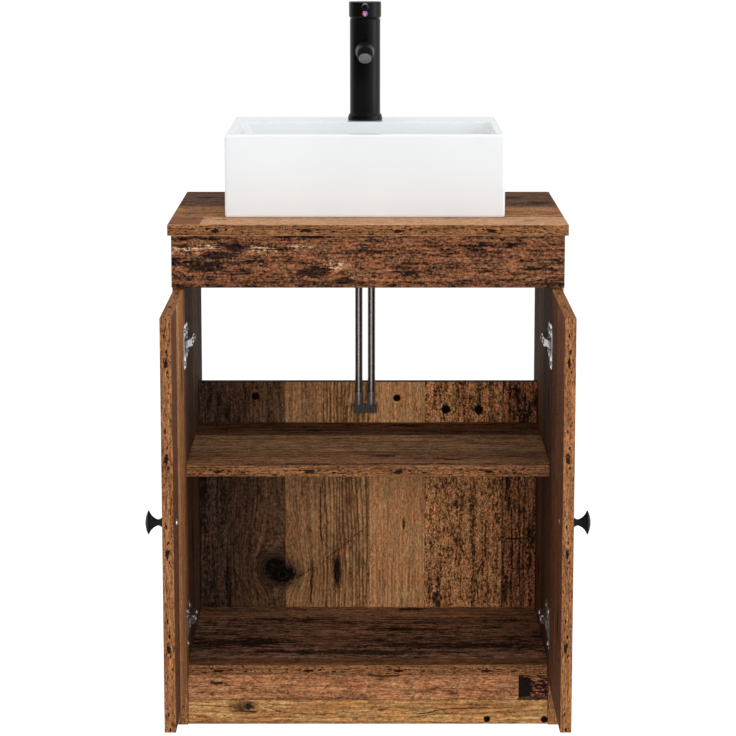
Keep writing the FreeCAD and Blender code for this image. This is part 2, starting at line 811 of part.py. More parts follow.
# Fixing stud with a rubber pad, a slotted clamp plate and a nut under the deck
deck_face = point(basin_x, tap_y, deck_under)


def clamp_disc(top, thickness):
    """Horseshoe disc under the deck that passes the hoses and holds the stud."""
    disc = rod(top - Z * thickness, Z, clamp_radius, thickness)
    hose_room = crimp_radius + clamp_slot_gap
    half_slot = hose_spacing / 2 + hose_room
    slot = box(basin_x - half_slot, basin_x + half_slot, tap_y - 2 * clamp_radius, hose_y + hose_room,
               top.z - thickness, top.z)
    hole = rod(stud_at - Z * stud_length, Z, stud_radius + joint_clearance, stud_length)
    return disc.cut(slot).cut(hole)


plate_top = deck_face - Z * clamp_rubber_thickness
stud_nut_base = stud_at + Z * (plate_top.z - clamp_plate_thickness - stud_nut_height - basin_top)
stud_base = stud_at + Z * (tap_gasket_thickness + stud_thread_depth - stud_length)
stud_nut = hexagon(stud_nut_base, stud_nut_flats, stud_nut_height, 0)
stud_nut = stud_nut.cut(rod(stud_nut_base, Z, stud_radius + joint_clearance, stud_nut_height))
keep("tap_clamp_rubber", clamp_disc(deck_face, clamp_rubber_thickness))
keep("tap_clamp_plate", clamp_disc(plate_top, clamp_plate_thickness))
keep("tap_stud", rod(stud_base, Z, stud_radius, stud_length))
keep("tap_stud_nut", stud_nut)

# Lever: a dome that turns on the spindle, and a head that tilts about a cross pin
head_base = tap_seat + Z * (tap_body_height + head_gap)
pivot = head_base + Z * pivot_rise
dome_foot = tap_seat.z + tap_body_height + dome_foot_gap
dome = Part.makeSphere(dome_radius, pivot)
dome = dome.common(box(basin_x - head_radius, basin_x + head_radius, tap_y - head_radius,
                       tap_y + head_radius, dome_foot, pivot.z + dome_crown))
stem_foot = spindle_base + Z * joint_clearance
dome = dome.fuse(rod(stem_foot, Z, spindle_radius, pivot.z - stem_foot.z))
cross = pivot - X * pivot_pin_reach
dome = dome.cut(rod(cross, X, pivot_pin_radius + joint_clearance, 2 * pivot_pin_reach))
keep("tap_lever_dome", dome.removeSplitter())
keep("tap_pivot_pin", rod(cross, X, pivot_pin_radius, 2 * pivot_pin_reach))

head = turned([(0, 0), (head_radius - head_chamfer_width, 0), (head_radius, head_chamfer_height),
               (head_radius, head_height - head_edge), (head_radius - head_edge, head_height),
               (0, head_height)], head_base, Z)
cavity_radius = dome_radius + dome_clearance
cavity = Part.makeSphere(cavity_radius, pivot)
cavity = cavity.common(box(basin_x - head_radius, basin_x + head_radius, tap_y - head_radius,
                           tap_y + head_radius, pivot.z, pivot.z + head_roof))
cavity = cavity.fuse(rod(head_base, Z, cavity_radius, pivot_rise))
relief = box(basin_x - 2 * head_radius, basin_x + 2 * head_radius, tap_y - 2 * head_radius,
             tap_y + 2 * head_radius, head_base.z - head_radius, head_base.z)
relief.rotate(pivot, X, lift_angle)
head = head.cut(cavity).cut(relief)
head = head.cut(rod(cross - X * running_clearance, X, pivot_pin_radius + running_clearance,
                    2 * (pivot_pin_reach + running_clearance)))

head_top = head_base + Z * head_height
lever_root = head_top + point(0, lever_socket - head_radius, -lever_below_top)
lever_total = lever_socket + lever_length
lever = turned([(0, 0), (lever_radius, 0), (lever_tip_radius, lever_total - lever_tip_chamfer),
                (lever_tip_radius - lever_tip_chamfer, lever_total), (0, lever_total)], lever_root, -Y)
head = head.cut(rod(lever_root, -Y, lever_radius, lever_total))
mark_back = head_top + point(0, mark_depth - head_radius, -mark_below_top)
mark = rod(mark_back, -Y, mark_radius, 2 * mark_depth)
mark = mark.common(rod(head_base, Z, head_radius + mark_proud, head_height))
head = head.cut(rod(mark_back, -Y, mark_radius + joint_clearance, 2 * mark_depth))
keep("tap_head", head)
keep("tap_lever", lever)
hot_side = box(basin_x - head_radius, basin_x, tap_y - 2 * head_radius, tap_y, head_base.z, head_top.z)
keep("tap_hot_mark", mark.common(hot_side))
keep("tap_cold_mark", mark.cut(hot_side))

# Supply hoses hang straight from the tap to a union nut above the shelf
nut_bottom = shelf_height + nut_above_shelf
collar_bottom = nut_bottom + nut_thread_depth
collar_top = collar_bottom + collar_thickness
crimp_bottom = nut_bottom + nut_height
hose_bottom = crimp_bottom + crimp_length
hose_top = tap_foot.z - hose_tail_length - crimp_length


def hose_parts(x):
    """Solids of one hose by name, from the tap's inlet down to the union nut."""
    axis = point(x, hose_y, 0)
    tail_top = tap_foot.z + hose_tail_insert
    crimp_top = hose_top + crimp_length
    tail_profile = [(0, hose_top), (crimp_radius, hose_top), (crimp_radius, crimp_top),
                    (hose_tail_radius, crimp_top), (hose_tail_radius, tail_top), (0, tail_top)]
    ferrule_profile = [(0, collar_bottom), (collar_radius, collar_bottom), (collar_radius, collar_top),
                       (spigot_radius, collar_top), (spigot_radius, crimp_bottom),
                       (crimp_radius, crimp_bottom), (crimp_radius, hose_bottom), (0, hose_bottom)]
    nut = hexagon(axis + Z * nut_bottom, nut_flats, nut_height, 30)
    nut = nut.cut(rod(axis + Z * nut_bottom, Z, nut_thread_radius, nut_thread_depth))
    nut = nut.cut(rod(axis + Z * collar_bottom, Z, nut_relief_radius, collar_thickness))
    nut = nut.cut(rod(axis + Z * nut_bottom, Z, spigot_radius + joint_clearance, nut_height))
    return {
        "hose": rod(axis + Z * hose_bottom, Z, hose_radius, hose_top - hose_bottom),
        "hose_tail": turned(tail_profile, axis, Z),
        "hose_ferrule": turned(ferrule_profile, axis, Z),
        "hose_nut": nut,
    }


hot, cold = [hose_parts(x) for x in hose_x]
keep("hose_tails", hot.pop("hose_tail"), cold.pop("hose_tail"))
for side, solids in (("hot", hot), ("cold", cold)):
    for name, solid in solids.items():
        keep(side + "_" + name, solid)
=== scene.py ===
"""Looks of a vanity cabinet: boards printed as old planks, a glazed basin, a black mixer and two hoses."""
import json
import math
from collections import namedtuple

import bpy
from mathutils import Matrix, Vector


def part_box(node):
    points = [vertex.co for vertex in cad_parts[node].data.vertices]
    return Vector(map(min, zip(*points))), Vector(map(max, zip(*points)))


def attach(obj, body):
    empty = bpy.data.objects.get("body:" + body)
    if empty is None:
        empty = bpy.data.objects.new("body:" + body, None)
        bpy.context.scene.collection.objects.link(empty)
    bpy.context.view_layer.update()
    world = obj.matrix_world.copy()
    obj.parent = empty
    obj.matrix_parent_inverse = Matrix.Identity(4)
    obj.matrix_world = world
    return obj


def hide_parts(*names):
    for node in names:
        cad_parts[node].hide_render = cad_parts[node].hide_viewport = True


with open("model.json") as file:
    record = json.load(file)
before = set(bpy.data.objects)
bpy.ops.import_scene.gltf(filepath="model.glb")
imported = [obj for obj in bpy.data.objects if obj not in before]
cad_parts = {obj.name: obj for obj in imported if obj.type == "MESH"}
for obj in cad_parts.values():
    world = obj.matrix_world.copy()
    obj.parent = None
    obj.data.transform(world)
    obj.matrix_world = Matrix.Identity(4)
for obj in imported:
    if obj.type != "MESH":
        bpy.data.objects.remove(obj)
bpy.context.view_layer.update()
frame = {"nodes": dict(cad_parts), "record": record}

MM = 0.001

# Camera, as the photograph was taken: far off, a little above the tap, looking slightly down
CAMERA_PLACE = (0.0, -3.9825, 1.2243)
CAMERA_PITCH = math.radians(9.754)
CAMERA_LENS_MM = 134.65
CAMERA_SENSOR_MM = 36.0
CAMERA_SIGHT = 200.0

# Hoses: straight hanging runs from the tap's tails down to the ferrules, eased at both ends
HOSE_TOP = 850.4 * MM
HOSE_BOTTOM = 447.1 * MM
HOSE_DIAMETER = 12 * MM
HOSE_Y = 317 * MM
HOSE_X = {"hot": -14.5 * MM, "cold": 5.5 * MM}
HOSE_EASE = 6 * HOSE_DIAMETER
HOSE_LENGTH_STEPS = 24
HOSE_ROUND_STEPS = 10
# Their braid: strands round the hose, the rise from one crossing to the next, and the fineness of the wires
BRAID_STRANDS = 16
BRAID_RISE = 2.6 * MM
BRAID_WIRES = 6.0

# The studio: an even light from all round, and its brightness in mirrors. There it has a dim side, in front
# and turned to the left, that fades in between two cosines of the angle from its middle
AMBIENT = 0.40
ROOM_IN_MIRRORS = 0.9
DIM_SIDE_IN_MIRRORS = 0.05
DIM_SIDE_TURN = math.radians(36)
DIM_SIDE_FADE = (0.25, 0.65)
# The floor: its reach, its tone in scattered light, and its tone and glow to the eye
FLOOR_REACH = 60.0
FLOOR_TONE = 0.80
SEEN_FLOOR_TONE = 0.40
SEEN_FLOOR_GLOW = 0.88
# Large flat lamps, shown in glossy surfaces or not and lighting matt ones or not
Lamp = namedtuple("Lamp", "name place target width height watts mirrored scattered", defaults=(True, True))
LAMPS = (
    Lamp("front_right", (0.9, -5.2, 1.35), (0.0, 0.0, 0.5), 2.2, 1.8, 106.0, mirrored=False),
    Lamp("front_left", (-1.1, -5.2, 1.10), (0.0, 0.0, 0.5), 2.2, 1.8, 44.0, mirrored=False),
    Lamp("side_right", (2.9, -0.4, 1.3), (0.0, 0.0, 0.7), 1.8, 2.2, 30.0),
    Lamp("side_left", (-2.9, 0.6, 1.3), (0.0, 0.0, 0.7), 1.8, 2.2, 22.0, mirrored=False),
    Lamp("top", (0.0, -0.2, 3.2), (0.0, 0.1, 0.6), 2.4, 2.0, 25.0, mirrored=False),
    Lamp("low_front", (-0.18, -1.0, 0.33), (-0.18, 0.3, 0.33), 0.9, 0.42, 2.2, scattered=False),
)


def srgb(red, green, blue):
    """Linear colour of a tone written in 0 to 255."""
    def linear(value):
        share = value / 255
        return share / 12.92 if share <= 0.04045 else ((share + 0.055) / 1.055) ** 2.4
    return (linear(red), linear(green), linear(blue), 1.0)


def grey(value):
    return (value, value, value, 1.0)


def dimmed(tone, share):
    return tuple(part * share for part in tone[:3]) + (1.0,)


# Tones of the planks and their marks
PALE = srgb(214, 172, 132)
HONEY = srgb(172, 118, 76)
ORANGE = srgb(160, 104, 66)
RUSSET = srgb(136, 84, 56)
BROWN = srgb(112, 76, 52)
UMBER = srgb(80, 54, 40)
DARK = srgb(54, 37, 29)
CHAR = srgb(28, 20, 17)
BLACK = srgb(13, 10, 10)
# Factors that vary the planks' hue, and the one for the depth of specks
WARM_TINT = (1.08, 0.94, 0.86, 1.0)
COOL_TINT = (0.94, 1.03, 1.02, 1.0)
SPECK_DEPTH = grey(0.30)

# A plank: where it starts across the board in mm, its light and dark tone, how much it has of dark specks,
# short dashes, growth rings and black stains, and how plainly a joint shows at its start
Plank = namedtuple("Plank", "start light dark specks dashes rings stains joint", defaults=(1.0,))
# Marks, in mm along and across the grain: a knot, stain or spot of painted shade with its half sizes and how
# solid it is, a hole with its radius, a crack, scratch or line of painted shade from one end to the other
# with its half width, and a block of another tone that is worn to black. A knot that isn't solid at all only
# bends the grain
Spot = namedtuple("Spot", "along across half_along half_across solid", defaults=(0.85,))
Hole = namedtuple("Hole", "along across radius")
Crack = namedtuple("Crack", "along across end_along end_across width")
Block = namedtuple("Block", "along end_along across end_across tone worn")
# All marks of a board, with pale worn streaks among them
Marks = namedtuple("Marks", "knots holes stains pale cracks blocks", defaults=((),) * 6)

# The strip on a board's edges: its dark and light tone, how dark its dashes are, and the place of one of its
# long spots along the edge
EdgeStrip = namedtuple("EdgeStrip", "dark light dashes spot_at")
LEVEL_EDGE = EdgeStrip(srgb(98, 63, 39), srgb(168, 115, 73), 0.92, -221 * MM)
UPRIGHT_EDGE = EdgeStrip(srgb(114, 74, 46), srgb(180, 122, 77), 0.70, 597.5 * MM)
BACK_EDGE = EdgeStrip(srgb(40, 27, 20), srgb(66, 44, 32), 0.92, -221 * MM)
# The strip's pattern comes again after this length, with these spots: how far ahead of the long one and off
# the strip's middle, and half sizes, in mm
EDGE_PERIOD = 133 * MM
EDGE_SPOTS = ((0, -1.0, 7.5, 2.5), (16, 0.5, 3.0, 1.4), (-12, 1.5, 2.4, 1.2), (38, -2.0, 3.2, 1.1))

# A board's finish: its node, the finish's name, the axes along and across the grain, where its last plank
# ends in mm, its planks and marks, a number that varies its noises, the width of its growth rings in mm and
# its edge strip
Board = namedtuple("Board", "node finish grain across end planks marks seed ring_width edge",
                   defaults=(Marks(), 0.0, 7.0, LEVEL_EDGE))

# Noises of the print: waves per metre along and across the grain, detail, roughness and distortion
Noise = namedtuple("Noise", "along across detail roughness distortion", defaults=(3, 0.6, 0.0))
DRIFT = Noise(2.2, 9.0, 2, 0.5)
FINE_DRIFT = Noise(11.0, 60.0)
STREAK = Noise(5.0, 170.0, 4, 0.62)
FIBRE = Noise(30.0, 900.0, 3, 0.65)
GRIT = Noise(205.0, 250.0, 3, 0.65)
DASH = Noise(48.0, 240.0, 3, 0.65)
MOTTLE = Noise(34.0, 90.0, 6, 0.72, 0.3)
PATCH = Noise(13.0, 36.0, 6, 0.70, 0.4)
BLOT = Noise(7.5, 27.0, 7, 0.68, 0.5)
HUE = Noise(22.0, 60.0, 6, 0.8)
PORES = Noise(110.0, 430.0, 2, 0.7)
DOTS = Noise(300.0, 400.0, 2, 0.7)
# Noises of the edge strip, along and through it
EDGE_BAND = Noise(12.0, 300.0, 4)
EDGE_DASH = Noise(120.0, 480.0, 3)
EDGE_CHIP = Noise(330.0, 620.0, 2)
# What a board's number is multiplied by for its edge strip
EDGE_SEED_STEP = 7

# Joints between planks: waves per metre, waver, half width, and the shift in metres that gives each plank a
# grain of its own, spread over the planks by the golden ratio
JOINT_WAVES = 30.0
JOINT_WAVER = 1.2 * MM
JOINT_HALF_MM = 0.8
PLANK_SHIFT = 9.0
GOLDEN = 0.618
# Growth rings: the turns that the slow and the fine drift add, and how much darker they are
RING_DRIFT = 7.0
RING_FINE_DRIFT = 1.3
RING_CONTRAST = 0.85
# Wear: how much each noise adds to it
MOTTLE_WEAR = 2.2
PATCH_WEAR = 1.4
GRIT_WEAR = 1.7
DASH_WEAR = 1.5
# Contrast of a plank's two tones by noise: what all planks have, and what the plank's specks and dashes add
PATCH_CONTRAST = 0.25
PATCH_BY_SPECKS = 0.6
PATCH_BY_DASHES = 0.4
GRIT_CONTRAST = 0.4
GRIT_BY_SPECKS = 3.6
DASH_CONTRAST = 0.4
DASH_BY_DASHES = 3.2
STREAK_CONTRAST = 0.6
FIBRE_CONTRAST = 1.2
# Dark specks and dashes: how they crowd in patches, and what the plank's amount of each adds
SPECK_CROWDING = 0.6
MORE_SPECKS = 0.13
MORE_DASHES = 0.20
# Stains: the strength of their noise, what the plank's amount adds, and what is free of them without it
BLOT_STRENGTH = 2.6
MORE_STAINS = 0.9
STAIN_FREE = 0.45
# How ragged wear makes the outline of marks
STAIN_AND_SHADE_RAGGED = 0.75
PALE_RAGGED = 0.7
KNOT_RAGGED = 0.4
HOLE_RAGGED = 0.25
# Knots: how far they bend the grain, in their half sizes, and how much, and how dark their surround is
KNOT_REACH = 1.8
KNOT_PULL = 0.6
KNOT_SURROUND = 0.82
# Cracks: how far they waver, and the length over which an end fades
CRACK_WAVER = 9 * MM
CRACK_FADE = 6 * MM
# How far each mark covers the tone below it
SPECK_COVER = 0.80
STAIN_AND_SHADE_COVER = 0.84
PALE_COVER = 0.9
CRACK_COVER = 0.9
JOINT_COVER = 0.8
EDGE_SPOT_COVER = 0.95
# How strongly the pores and the print dots darken and lighten, and the darkest factor that they give
PORE_STRENGTH = 2.2
DOT_STRENGTH = 6.0
DARKEST_GRAIN = 0.2


class Graph:
    """A material's node tree, with a short call for each kind of node that the finishes use."""

    def __init__(self, name):
        self.material = bpy.data.materials.new(name)
        self.material.use_nodes = True
        self.tree = self.material.node_tree
        self.tree.nodes.clear()
        output = self.add("ShaderNodeOutputMaterial")
        self.shader = self.add("ShaderNodeBsdfPrincipled")
        self.tree.links.new(self.shader.outputs[0], output.inputs["Surface"])

    def add(self, kind, **settings):
        node = self.tree.nodes.new(kind)
        for name, value in settings.items():
            setattr(node, name, value)
        return node

    def put(self, value, socket):
        """Sets a socket to a number or colour, or links it to another node's output."""
        if isinstance(value, bpy.types.NodeSocket):
            self.tree.links.new(value, socket)
        else:
            socket.default_value = value

    def finish(self, **values):
        """Sets the shader's sockets by name, with spaces written as underscores."""
        for name, value in values.items():
            self.put(value, self.shader.inputs[name.replace("_", " ")])
        return self.material

    def math(self, operation, *values):
        node = self.add("ShaderNodeMath", operation=operation)
        for value, socket in zip(values, node.inputs):
            self.put(value, socket)
        return node.outputs[0]

    def plus(self, a, b):
        return self.math("ADD", a, b)

    def less(self, a, b):
        return self.math("SUBTRACT", a, b)

    def times(self, a, b):
        return self.math("MULTIPLY", a, b)

    def over(self, a, b):
        return self.math("DIVIDE", a, b)

    def most(self, a, b):
        return self.math("MAXIMUM", a, b)

    def size(self, value):
        return self.math("ABSOLUTE", value)

    def total(self, first, *others):
        for other in others:
            first = self.plus(first, other)
        return first

    def length(self, a, b):
        """Length of the line that goes a along and b across."""
        return self.math("SQRT", self.plus(self.times(a, a), self.times(b, b)))

    def swing(self, noise, strength):
        """How far a noise is from its middle, times a strength."""
        return self.times(self.less(noise, 0.5), strength)

    def remap(self, value, low, high, to_low=0.0, to_high=1.0):
        """Smooth step of a value from one range to another."""
        node = self.add("ShaderNodeMapRange", interpolation_type="SMOOTHSTEP")
        for name, number in (("From Min", low), ("From Max", high), ("To Min", to_low), ("To Max", to_high)):
            node.inputs[name].default_value = number
        self.put(value, node.inputs["Value"])
        return node.outputs["Result"]

    def mix(self, share, first, second, blend="MIX"):
        """Mix of two colours."""
        node = self.add("ShaderNodeMix", data_type="RGBA", blend_type=blend)
        self.put(share, node.inputs["Factor"])
        self.put(first, node.inputs[6])
        self.put(second, node.inputs[7])
        return node.outputs[2]

    def blend_values(self, share, first, second):
        """Mix of two numbers."""
        node = self.add("ShaderNodeMix", data_type="FLOAT")
        self.put(share, node.inputs["Factor"])
        self.put(first, node.inputs[2])
        self.put(second, node.inputs[3])
        return node.outputs[0]

    def vector(self, x, y, z):
        node = self.add("ShaderNodeCombineXYZ")
        for value, socket in zip((x, y, z), node.inputs):
            self.put(value, socket)
        return node.outputs[0]

    def parts(self, vector):
        node = self.add("ShaderNodeSeparateXYZ")
        self.put(vector, node.inputs[0])
        return dict(zip("xyz", node.outputs))

    def noise(self, vector, detail=2, roughness=0.5, distortion=0.0, scale=1.0):
        node = self.add("ShaderNodeTexNoise")
        self.put(vector, node.inputs["Vector"])
        node.inputs["Scale"].default_value = scale
        node.inputs["Detail"].default_value = detail
        node.inputs["Roughness"].default_value = roughness
        node.inputs["Distortion"].default_value = distortion
        return node.outputs["Fac"]

    def ramp(self, share, stops, interpolation="LINEAR"):
        """Colour ramp through (place, colour) stops."""
        node = self.add("ShaderNodeValToRGB")
        ramp = node.color_ramp
        ramp.interpolation = interpolation
        while len(ramp.elements) > 1:
            ramp.elements.remove(ramp.elements[-1])
        ramp.elements[0].position = stops[0][0]
        ramp.elements[0].color = stops[0][1]
        for place, colour in stops[1:]:
            ramp.elements.new(place).color = colour
        self.put(share, node.inputs["Fac"])
        return node.outputs["Color"]

    def point(self):
        """A point in the object's own frame, in metres."""
        return self.add("ShaderNodeTexCoord").outputs["Object"]

    def place(self):
        """The x, y and z of a point in the object's own frame, in metres."""
        return self.parts(self.point())

    def facing(self):
        """The x, y and z of the surface's normal in the object's own frame."""
        return self.parts(self.add("ShaderNodeTexCoord").outputs["Normal"])

    def bump(self, height, distance, strength):
        node = self.add("ShaderNodeBump")
        node.inputs["Strength"].default_value = strength
        node.inputs["Distance"].default_value = distance
        self.put(height, node.inputs["Height"])
        return node.outputs["Normal"]


class Wood:
    """Board finish printed as old planks: tones by plank, rings, fibres, specks, dashes, stains, knots and
    cracks, painted shade at a few chosen places, and a strip of its own on the board's edges."""

    def __init__(self, board):
        self.graph = Graph(board.finish)
        place = self.graph.place()
        self.grain_axis = board.grain
        self.through_axis = next(axis for axis in "xyz" if axis not in (board.grain, board.across))
        self.along = place[board.grain]
        self.across = place[board.across]
        self.through = place[self.through_axis]
        low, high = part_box(board.node)
        self.middle = getattr(low + high, self.through_axis) / 2
        self.seed = board.seed
        self.lay_planks(board.planks, board.end)
        self.draw_grain(board.marks.knots, board.ring_width)
        self.colour_planks()
        self.add_specks()
        self.add_stains_and_shade(board.marks.stains)
        self.add_pale_streaks(board.marks.pale)
        self.add_blocks(board.marks.blocks)
        self.add_knots(board.marks.knots)
        self.add_holes(board.marks.holes)
        self.add_cracks(board.marks.cracks)
        self.add_joints()
        self.add_edges(board.edge)
        self.add_fine_grain()
        self.material = self.finish()

    def offset(self, spot, spread=1.0):
        """Distance of a point from a spot's middle, in the spot's half sizes."""
        graph = self.graph
        along = graph.over(graph.less(self.along, spot.along * MM), spot.half_along * spread * MM)
        across = graph.over(graph.less(self.across, spot.across * MM), spot.half_across * spread * MM)
        return graph.length(along, across)

    def field(self, noise):
        """A noise that is stretched along the grain, with a start of its own in each plank."""
        graph = self.graph
        point = graph.vector(graph.times(self.run, noise.along), graph.times(self.bent, noise.across),
                             graph.times(self.deep, noise.across))
        return graph.noise(point, noise.detail, noise.roughness, noise.distortion)

    def lay_planks(self, planks, end):
        """Ramps across the board that hold each plank's tones and amounts."""
        graph = self.graph
        start = planks[0].start
        shares = [(plank.start - start) / (end - start) for plank in planks]
        waver = graph.noise(graph.vector(graph.times(self.along, JOINT_WAVES), self.seed, 0.0), detail=3)
        wavering = graph.plus(self.across, graph.swing(waver, JOINT_WAVER))
        share = graph.over(graph.less(wavering, start * MM), (end - start) * MM)

        def ramp(values):
            return graph.ramp(share, list(zip(shares, values)), "CONSTANT")

        self.light = ramp([plank.light for plank in planks])
        self.dark = ramp([plank.dark for plank in planks])
        amounts = graph.parts(ramp([(plank.specks, plank.dashes, plank.rings, 1.0) for plank in planks]))
        self.specks, self.dashes, self.rings = amounts["x"], amounts["y"], amounts["z"]
        shifts = [(self.seed + count * GOLDEN) % 1.0 for count in range(len(planks))]
        more = graph.parts(ramp([(plank.stains, shift, 0.0, 1.0) for plank, shift in zip(planks, shifts)]))
        self.stains, self.shift = more["x"], more["y"]
        half_joint = JOINT_HALF_MM / (end - start)
        stops = [(0.0, grey(0.0))]
        for plank, joint in zip(planks[1:], shares[1:]):
            stops.append((joint - half_joint, grey(0.0)))
            stops.append((joint, grey(plank.joint)))
            stops.append((joint + half_joint, grey(0.0)))
        self.joints = graph.ramp(share, stops)

    def draw_grain(self, knots, ring_width):
        """Rings that flow round the knots, streaks, fibres, specks and blotches, as values from 0 to 1."""
        graph = self.graph
        shift = graph.times(self.shift, PLANK_SHIFT)
        bent = self.across
        for knot in knots:
            distance = self.offset(knot, KNOT_REACH)
            pull = graph.math("EXPONENT", graph.times(graph.times(distance, distance), -1.0))
            away = graph.less(self.across, knot.across * MM)
            bent = graph.less(bent, graph.times(graph.times(away, pull), KNOT_PULL))
        self.run = graph.plus(self.along, shift)
        self.bent = graph.plus(bent, shift)
        self.deep = graph.plus(self.through, shift)
        self.streak = graph.remap(self.field(STREAK), 0.3, 0.7)
        self.fibre = self.field(FIBRE)
        self.grit = self.field(GRIT)
        self.dash = self.field(DASH)
        self.mottle = self.field(MOTTLE)
        self.patch = self.field(PATCH)
        self.blot = self.field(BLOT)
        turns = graph.total(graph.over(self.bent, ring_width * MM),
                            graph.times(self.field(DRIFT), RING_DRIFT),
                            graph.times(self.field(FINE_DRIFT), RING_FINE_DRIFT))
        ring = graph.remap(graph.math("FRACT", turns), 0.42, 0.95)
        self.ring = graph.times(ring, graph.remap(self.mottle, 0.36, 0.56, 0.25, 1.0))

    def colour_planks(self):
        """Mixes a plank's tones by patches, grit, dashes, streaks, fibres and rings, and varies its hue."""
        graph = self.graph
        patches = graph.plus(graph.swing(self.mottle, MOTTLE_WEAR), graph.swing(self.patch, PATCH_WEAR))
        self.wear = graph.total(patches, graph.swing(self.grit, GRIT_WEAR),
                                graph.swing(self.dash, DASH_WEAR))
        by_patches = graph.total(PATCH_CONTRAST, graph.times(self.specks, PATCH_BY_SPECKS),
                                 graph.times(self.dashes, PATCH_BY_DASHES))
        by_grit = graph.plus(GRIT_CONTRAST, graph.times(self.specks, GRIT_BY_SPECKS))
        by_dashes = graph.plus(DASH_CONTRAST, graph.times(self.dashes, DASH_BY_DASHES))
        share = graph.total(0.5, graph.times(patches, by_patches), graph.swing(self.grit, by_grit),
                            graph.swing(self.dash, by_dashes), graph.swing(self.streak, STREAK_CONTRAST),
                            graph.swing(self.fibre, FIBRE_CONTRAST))
        share = graph.less(share, graph.times(self.ring, graph.times(self.rings, RING_CONTRAST)))
        colour = graph.mix(graph.math("MINIMUM", graph.most(share, 0.0), 1.0), self.dark, self.light)
        tint = graph.mix(graph.remap(self.field(HUE), 0.36, 0.64), WARM_TINT, COOL_TINT)
        self.colour = graph.mix(1.0, colour, tint, "MULTIPLY")

    def add_specks(self):
        """Dark specks and dashes, crowded together in patches."""
        graph = self.graph
        crowd = graph.times(graph.less(0.5, self.mottle), SPECK_CROWDING)

        def dark_marks(noise, amount):
            level = graph.less(graph.plus(crowd, amount), graph.less(noise, 0.5))
            return graph.remap(level, 0.20, 0.27)

        self.speck = graph.most(dark_marks(self.grit, graph.times(self.specks, MORE_SPECKS)),
                                dark_marks(self.dash, graph.times(self.dashes, MORE_DASHES)))
        deep = graph.mix(1.0, self.dark, SPECK_DEPTH, "MULTIPLY")
        self.colour = graph.mix(graph.times(self.speck, SPECK_COVER), self.colour, deep)

    def add_stains_and_shade(self, stains):
        """Black weathering, scattered by each plank's amount and at chosen places, and painted shade at a few
        of these places.
        """
        graph = self.graph
        scattered = graph.less(graph.times(self.stains, MORE_STAINS), STAIN_FREE)
        amount = graph.plus(graph.swing(self.blot, BLOT_STRENGTH), scattered)
        for stain in stains:
            amount = graph.most(amount, graph.remap(self.offset(stain), 1.7, 0.1, 0.0, stain.solid))
        self.stain = graph.remap(graph.less(amount, graph.times(self.wear, STAIN_AND_SHADE_RAGGED)), 0.40, 0.70)
        self.colour = graph.mix(graph.times(self.stain, STAIN_AND_SHADE_COVER), self.colour, CHAR)

    def add_pale_streaks(self, streaks):
        """Fine pale lines where the dark surface is worn off, but not in stains or painted shade."""
        graph = self.graph
        for streak in streaks:
            near = graph.remap(self.offset(streak), 1.6, 0.2)
            lines = graph.plus(graph.swing(self.fibre, 2.6), graph.times(self.wear, PALE_RAGGED))
            worn = graph.remap(graph.plus(graph.times(near, 0.45), lines), 0.40, 0.64)
            worn = graph.times(worn, graph.times(near, graph.less(1.0, self.stain)))
            self.colour = graph.mix(graph.times(worn, PALE_COVER), self.colour, PALE)

    def add_blocks(self, blocks):
        """A short piece of another tone let into a plank, worn to black in places."""
        graph = self.graph
        for block in blocks:
            inside = graph.math("GREATER_THAN", self.along, block.along * MM)
            inside = graph.times(inside, graph.math("LESS_THAN", self.along, block.end_along * MM))
            inside = graph.times(inside, graph.math("GREATER_THAN", self.across, block.across * MM))
            inside = graph.times(inside, graph.math("LESS_THAN", self.across, block.end_across * MM))
            tone = graph.mix(graph.remap(self.wear, block.worn + 0.2, block.worn - 0.2), block.tone, CHAR)
            self.colour = graph.mix(graph.times(inside, graph.less(1.0, self.stain)), self.colour, tone)

    def add_knots(self, knots):
        """Black ragged knots, as solid as each one is, with a soft dark surround and paler lines that bend
        round the heart."""
        graph = self.graph
        ragged = [graph.plus(self.offset(knot), graph.times(self.wear, KNOT_RAGGED)) for knot in knots]
        for knot, distance in zip(knots, ragged):
            surround = graph.remap(distance, 2.3, 0.9, 0.0, KNOT_SURROUND * knot.solid)
            self.colour = graph.mix(surround, self.colour, DARK)
        for knot, distance in zip(knots, ragged):
            turns = graph.plus(graph.times(distance, 1.7), graph.times(self.fibre, 0.9))
            lines = graph.remap(graph.math("PINGPONG", turns, 0.5), 0.06, 0.01, 0.0, 0.4)
            heart = graph.remap(distance, 1.2, 0.75, 0.0, knot.solid)
            self.colour = graph.mix(heart, self.colour, graph.mix(lines, BLACK, BROWN))

    def add_holes(self, holes):
        graph = self.graph
        for hole in holes:
            round_hole = Spot(hole.along, hole.across, hole.radius, hole.radius)
            ragged = graph.plus(self.offset(round_hole), graph.times(self.wear, HOLE_RAGGED))
            self.colour = graph.mix(graph.remap(ragged, 1.2, 0.8), self.colour, BLACK)

    def add_cracks(self, cracks):
        """Thin dark lines that waver from one end to the other."""
        graph = self.graph
        for crack in cracks:
            run = Vector((crack.end_along - crack.along, crack.end_across - crack.across)) * MM
            half_length = run.length / 2
            ahead = run.normalized()
            along = graph.less(self.along, crack.along * MM)
            across = graph.less(self.across, crack.across * MM)
            forward = graph.plus(graph.times(along, ahead.x), graph.times(across, ahead.y))
            aside = graph.less(graph.times(along, ahead.y), graph.times(across, ahead.x))
            aside = graph.plus(aside, graph.swing(self.mottle, CRACK_WAVER))
            from_middle = graph.size(graph.less(forward, half_length))
            within = graph.remap(from_middle, half_length, half_length - CRACK_FADE)
            line = graph.remap(graph.size(aside), crack.width * MM, 0.3 * crack.width * MM)
            line = graph.times(line, graph.remap(self.grit, 0.34, 0.50, 0.35, 1.0))
            self.colour = graph.mix(graph.times(graph.times(line, within), CRACK_COVER), self.colour, BLACK)

    def add_joints(self):
        self.colour = self.graph.mix(self.graph.times(self.joints, JOINT_COVER), self.colour, CHAR)

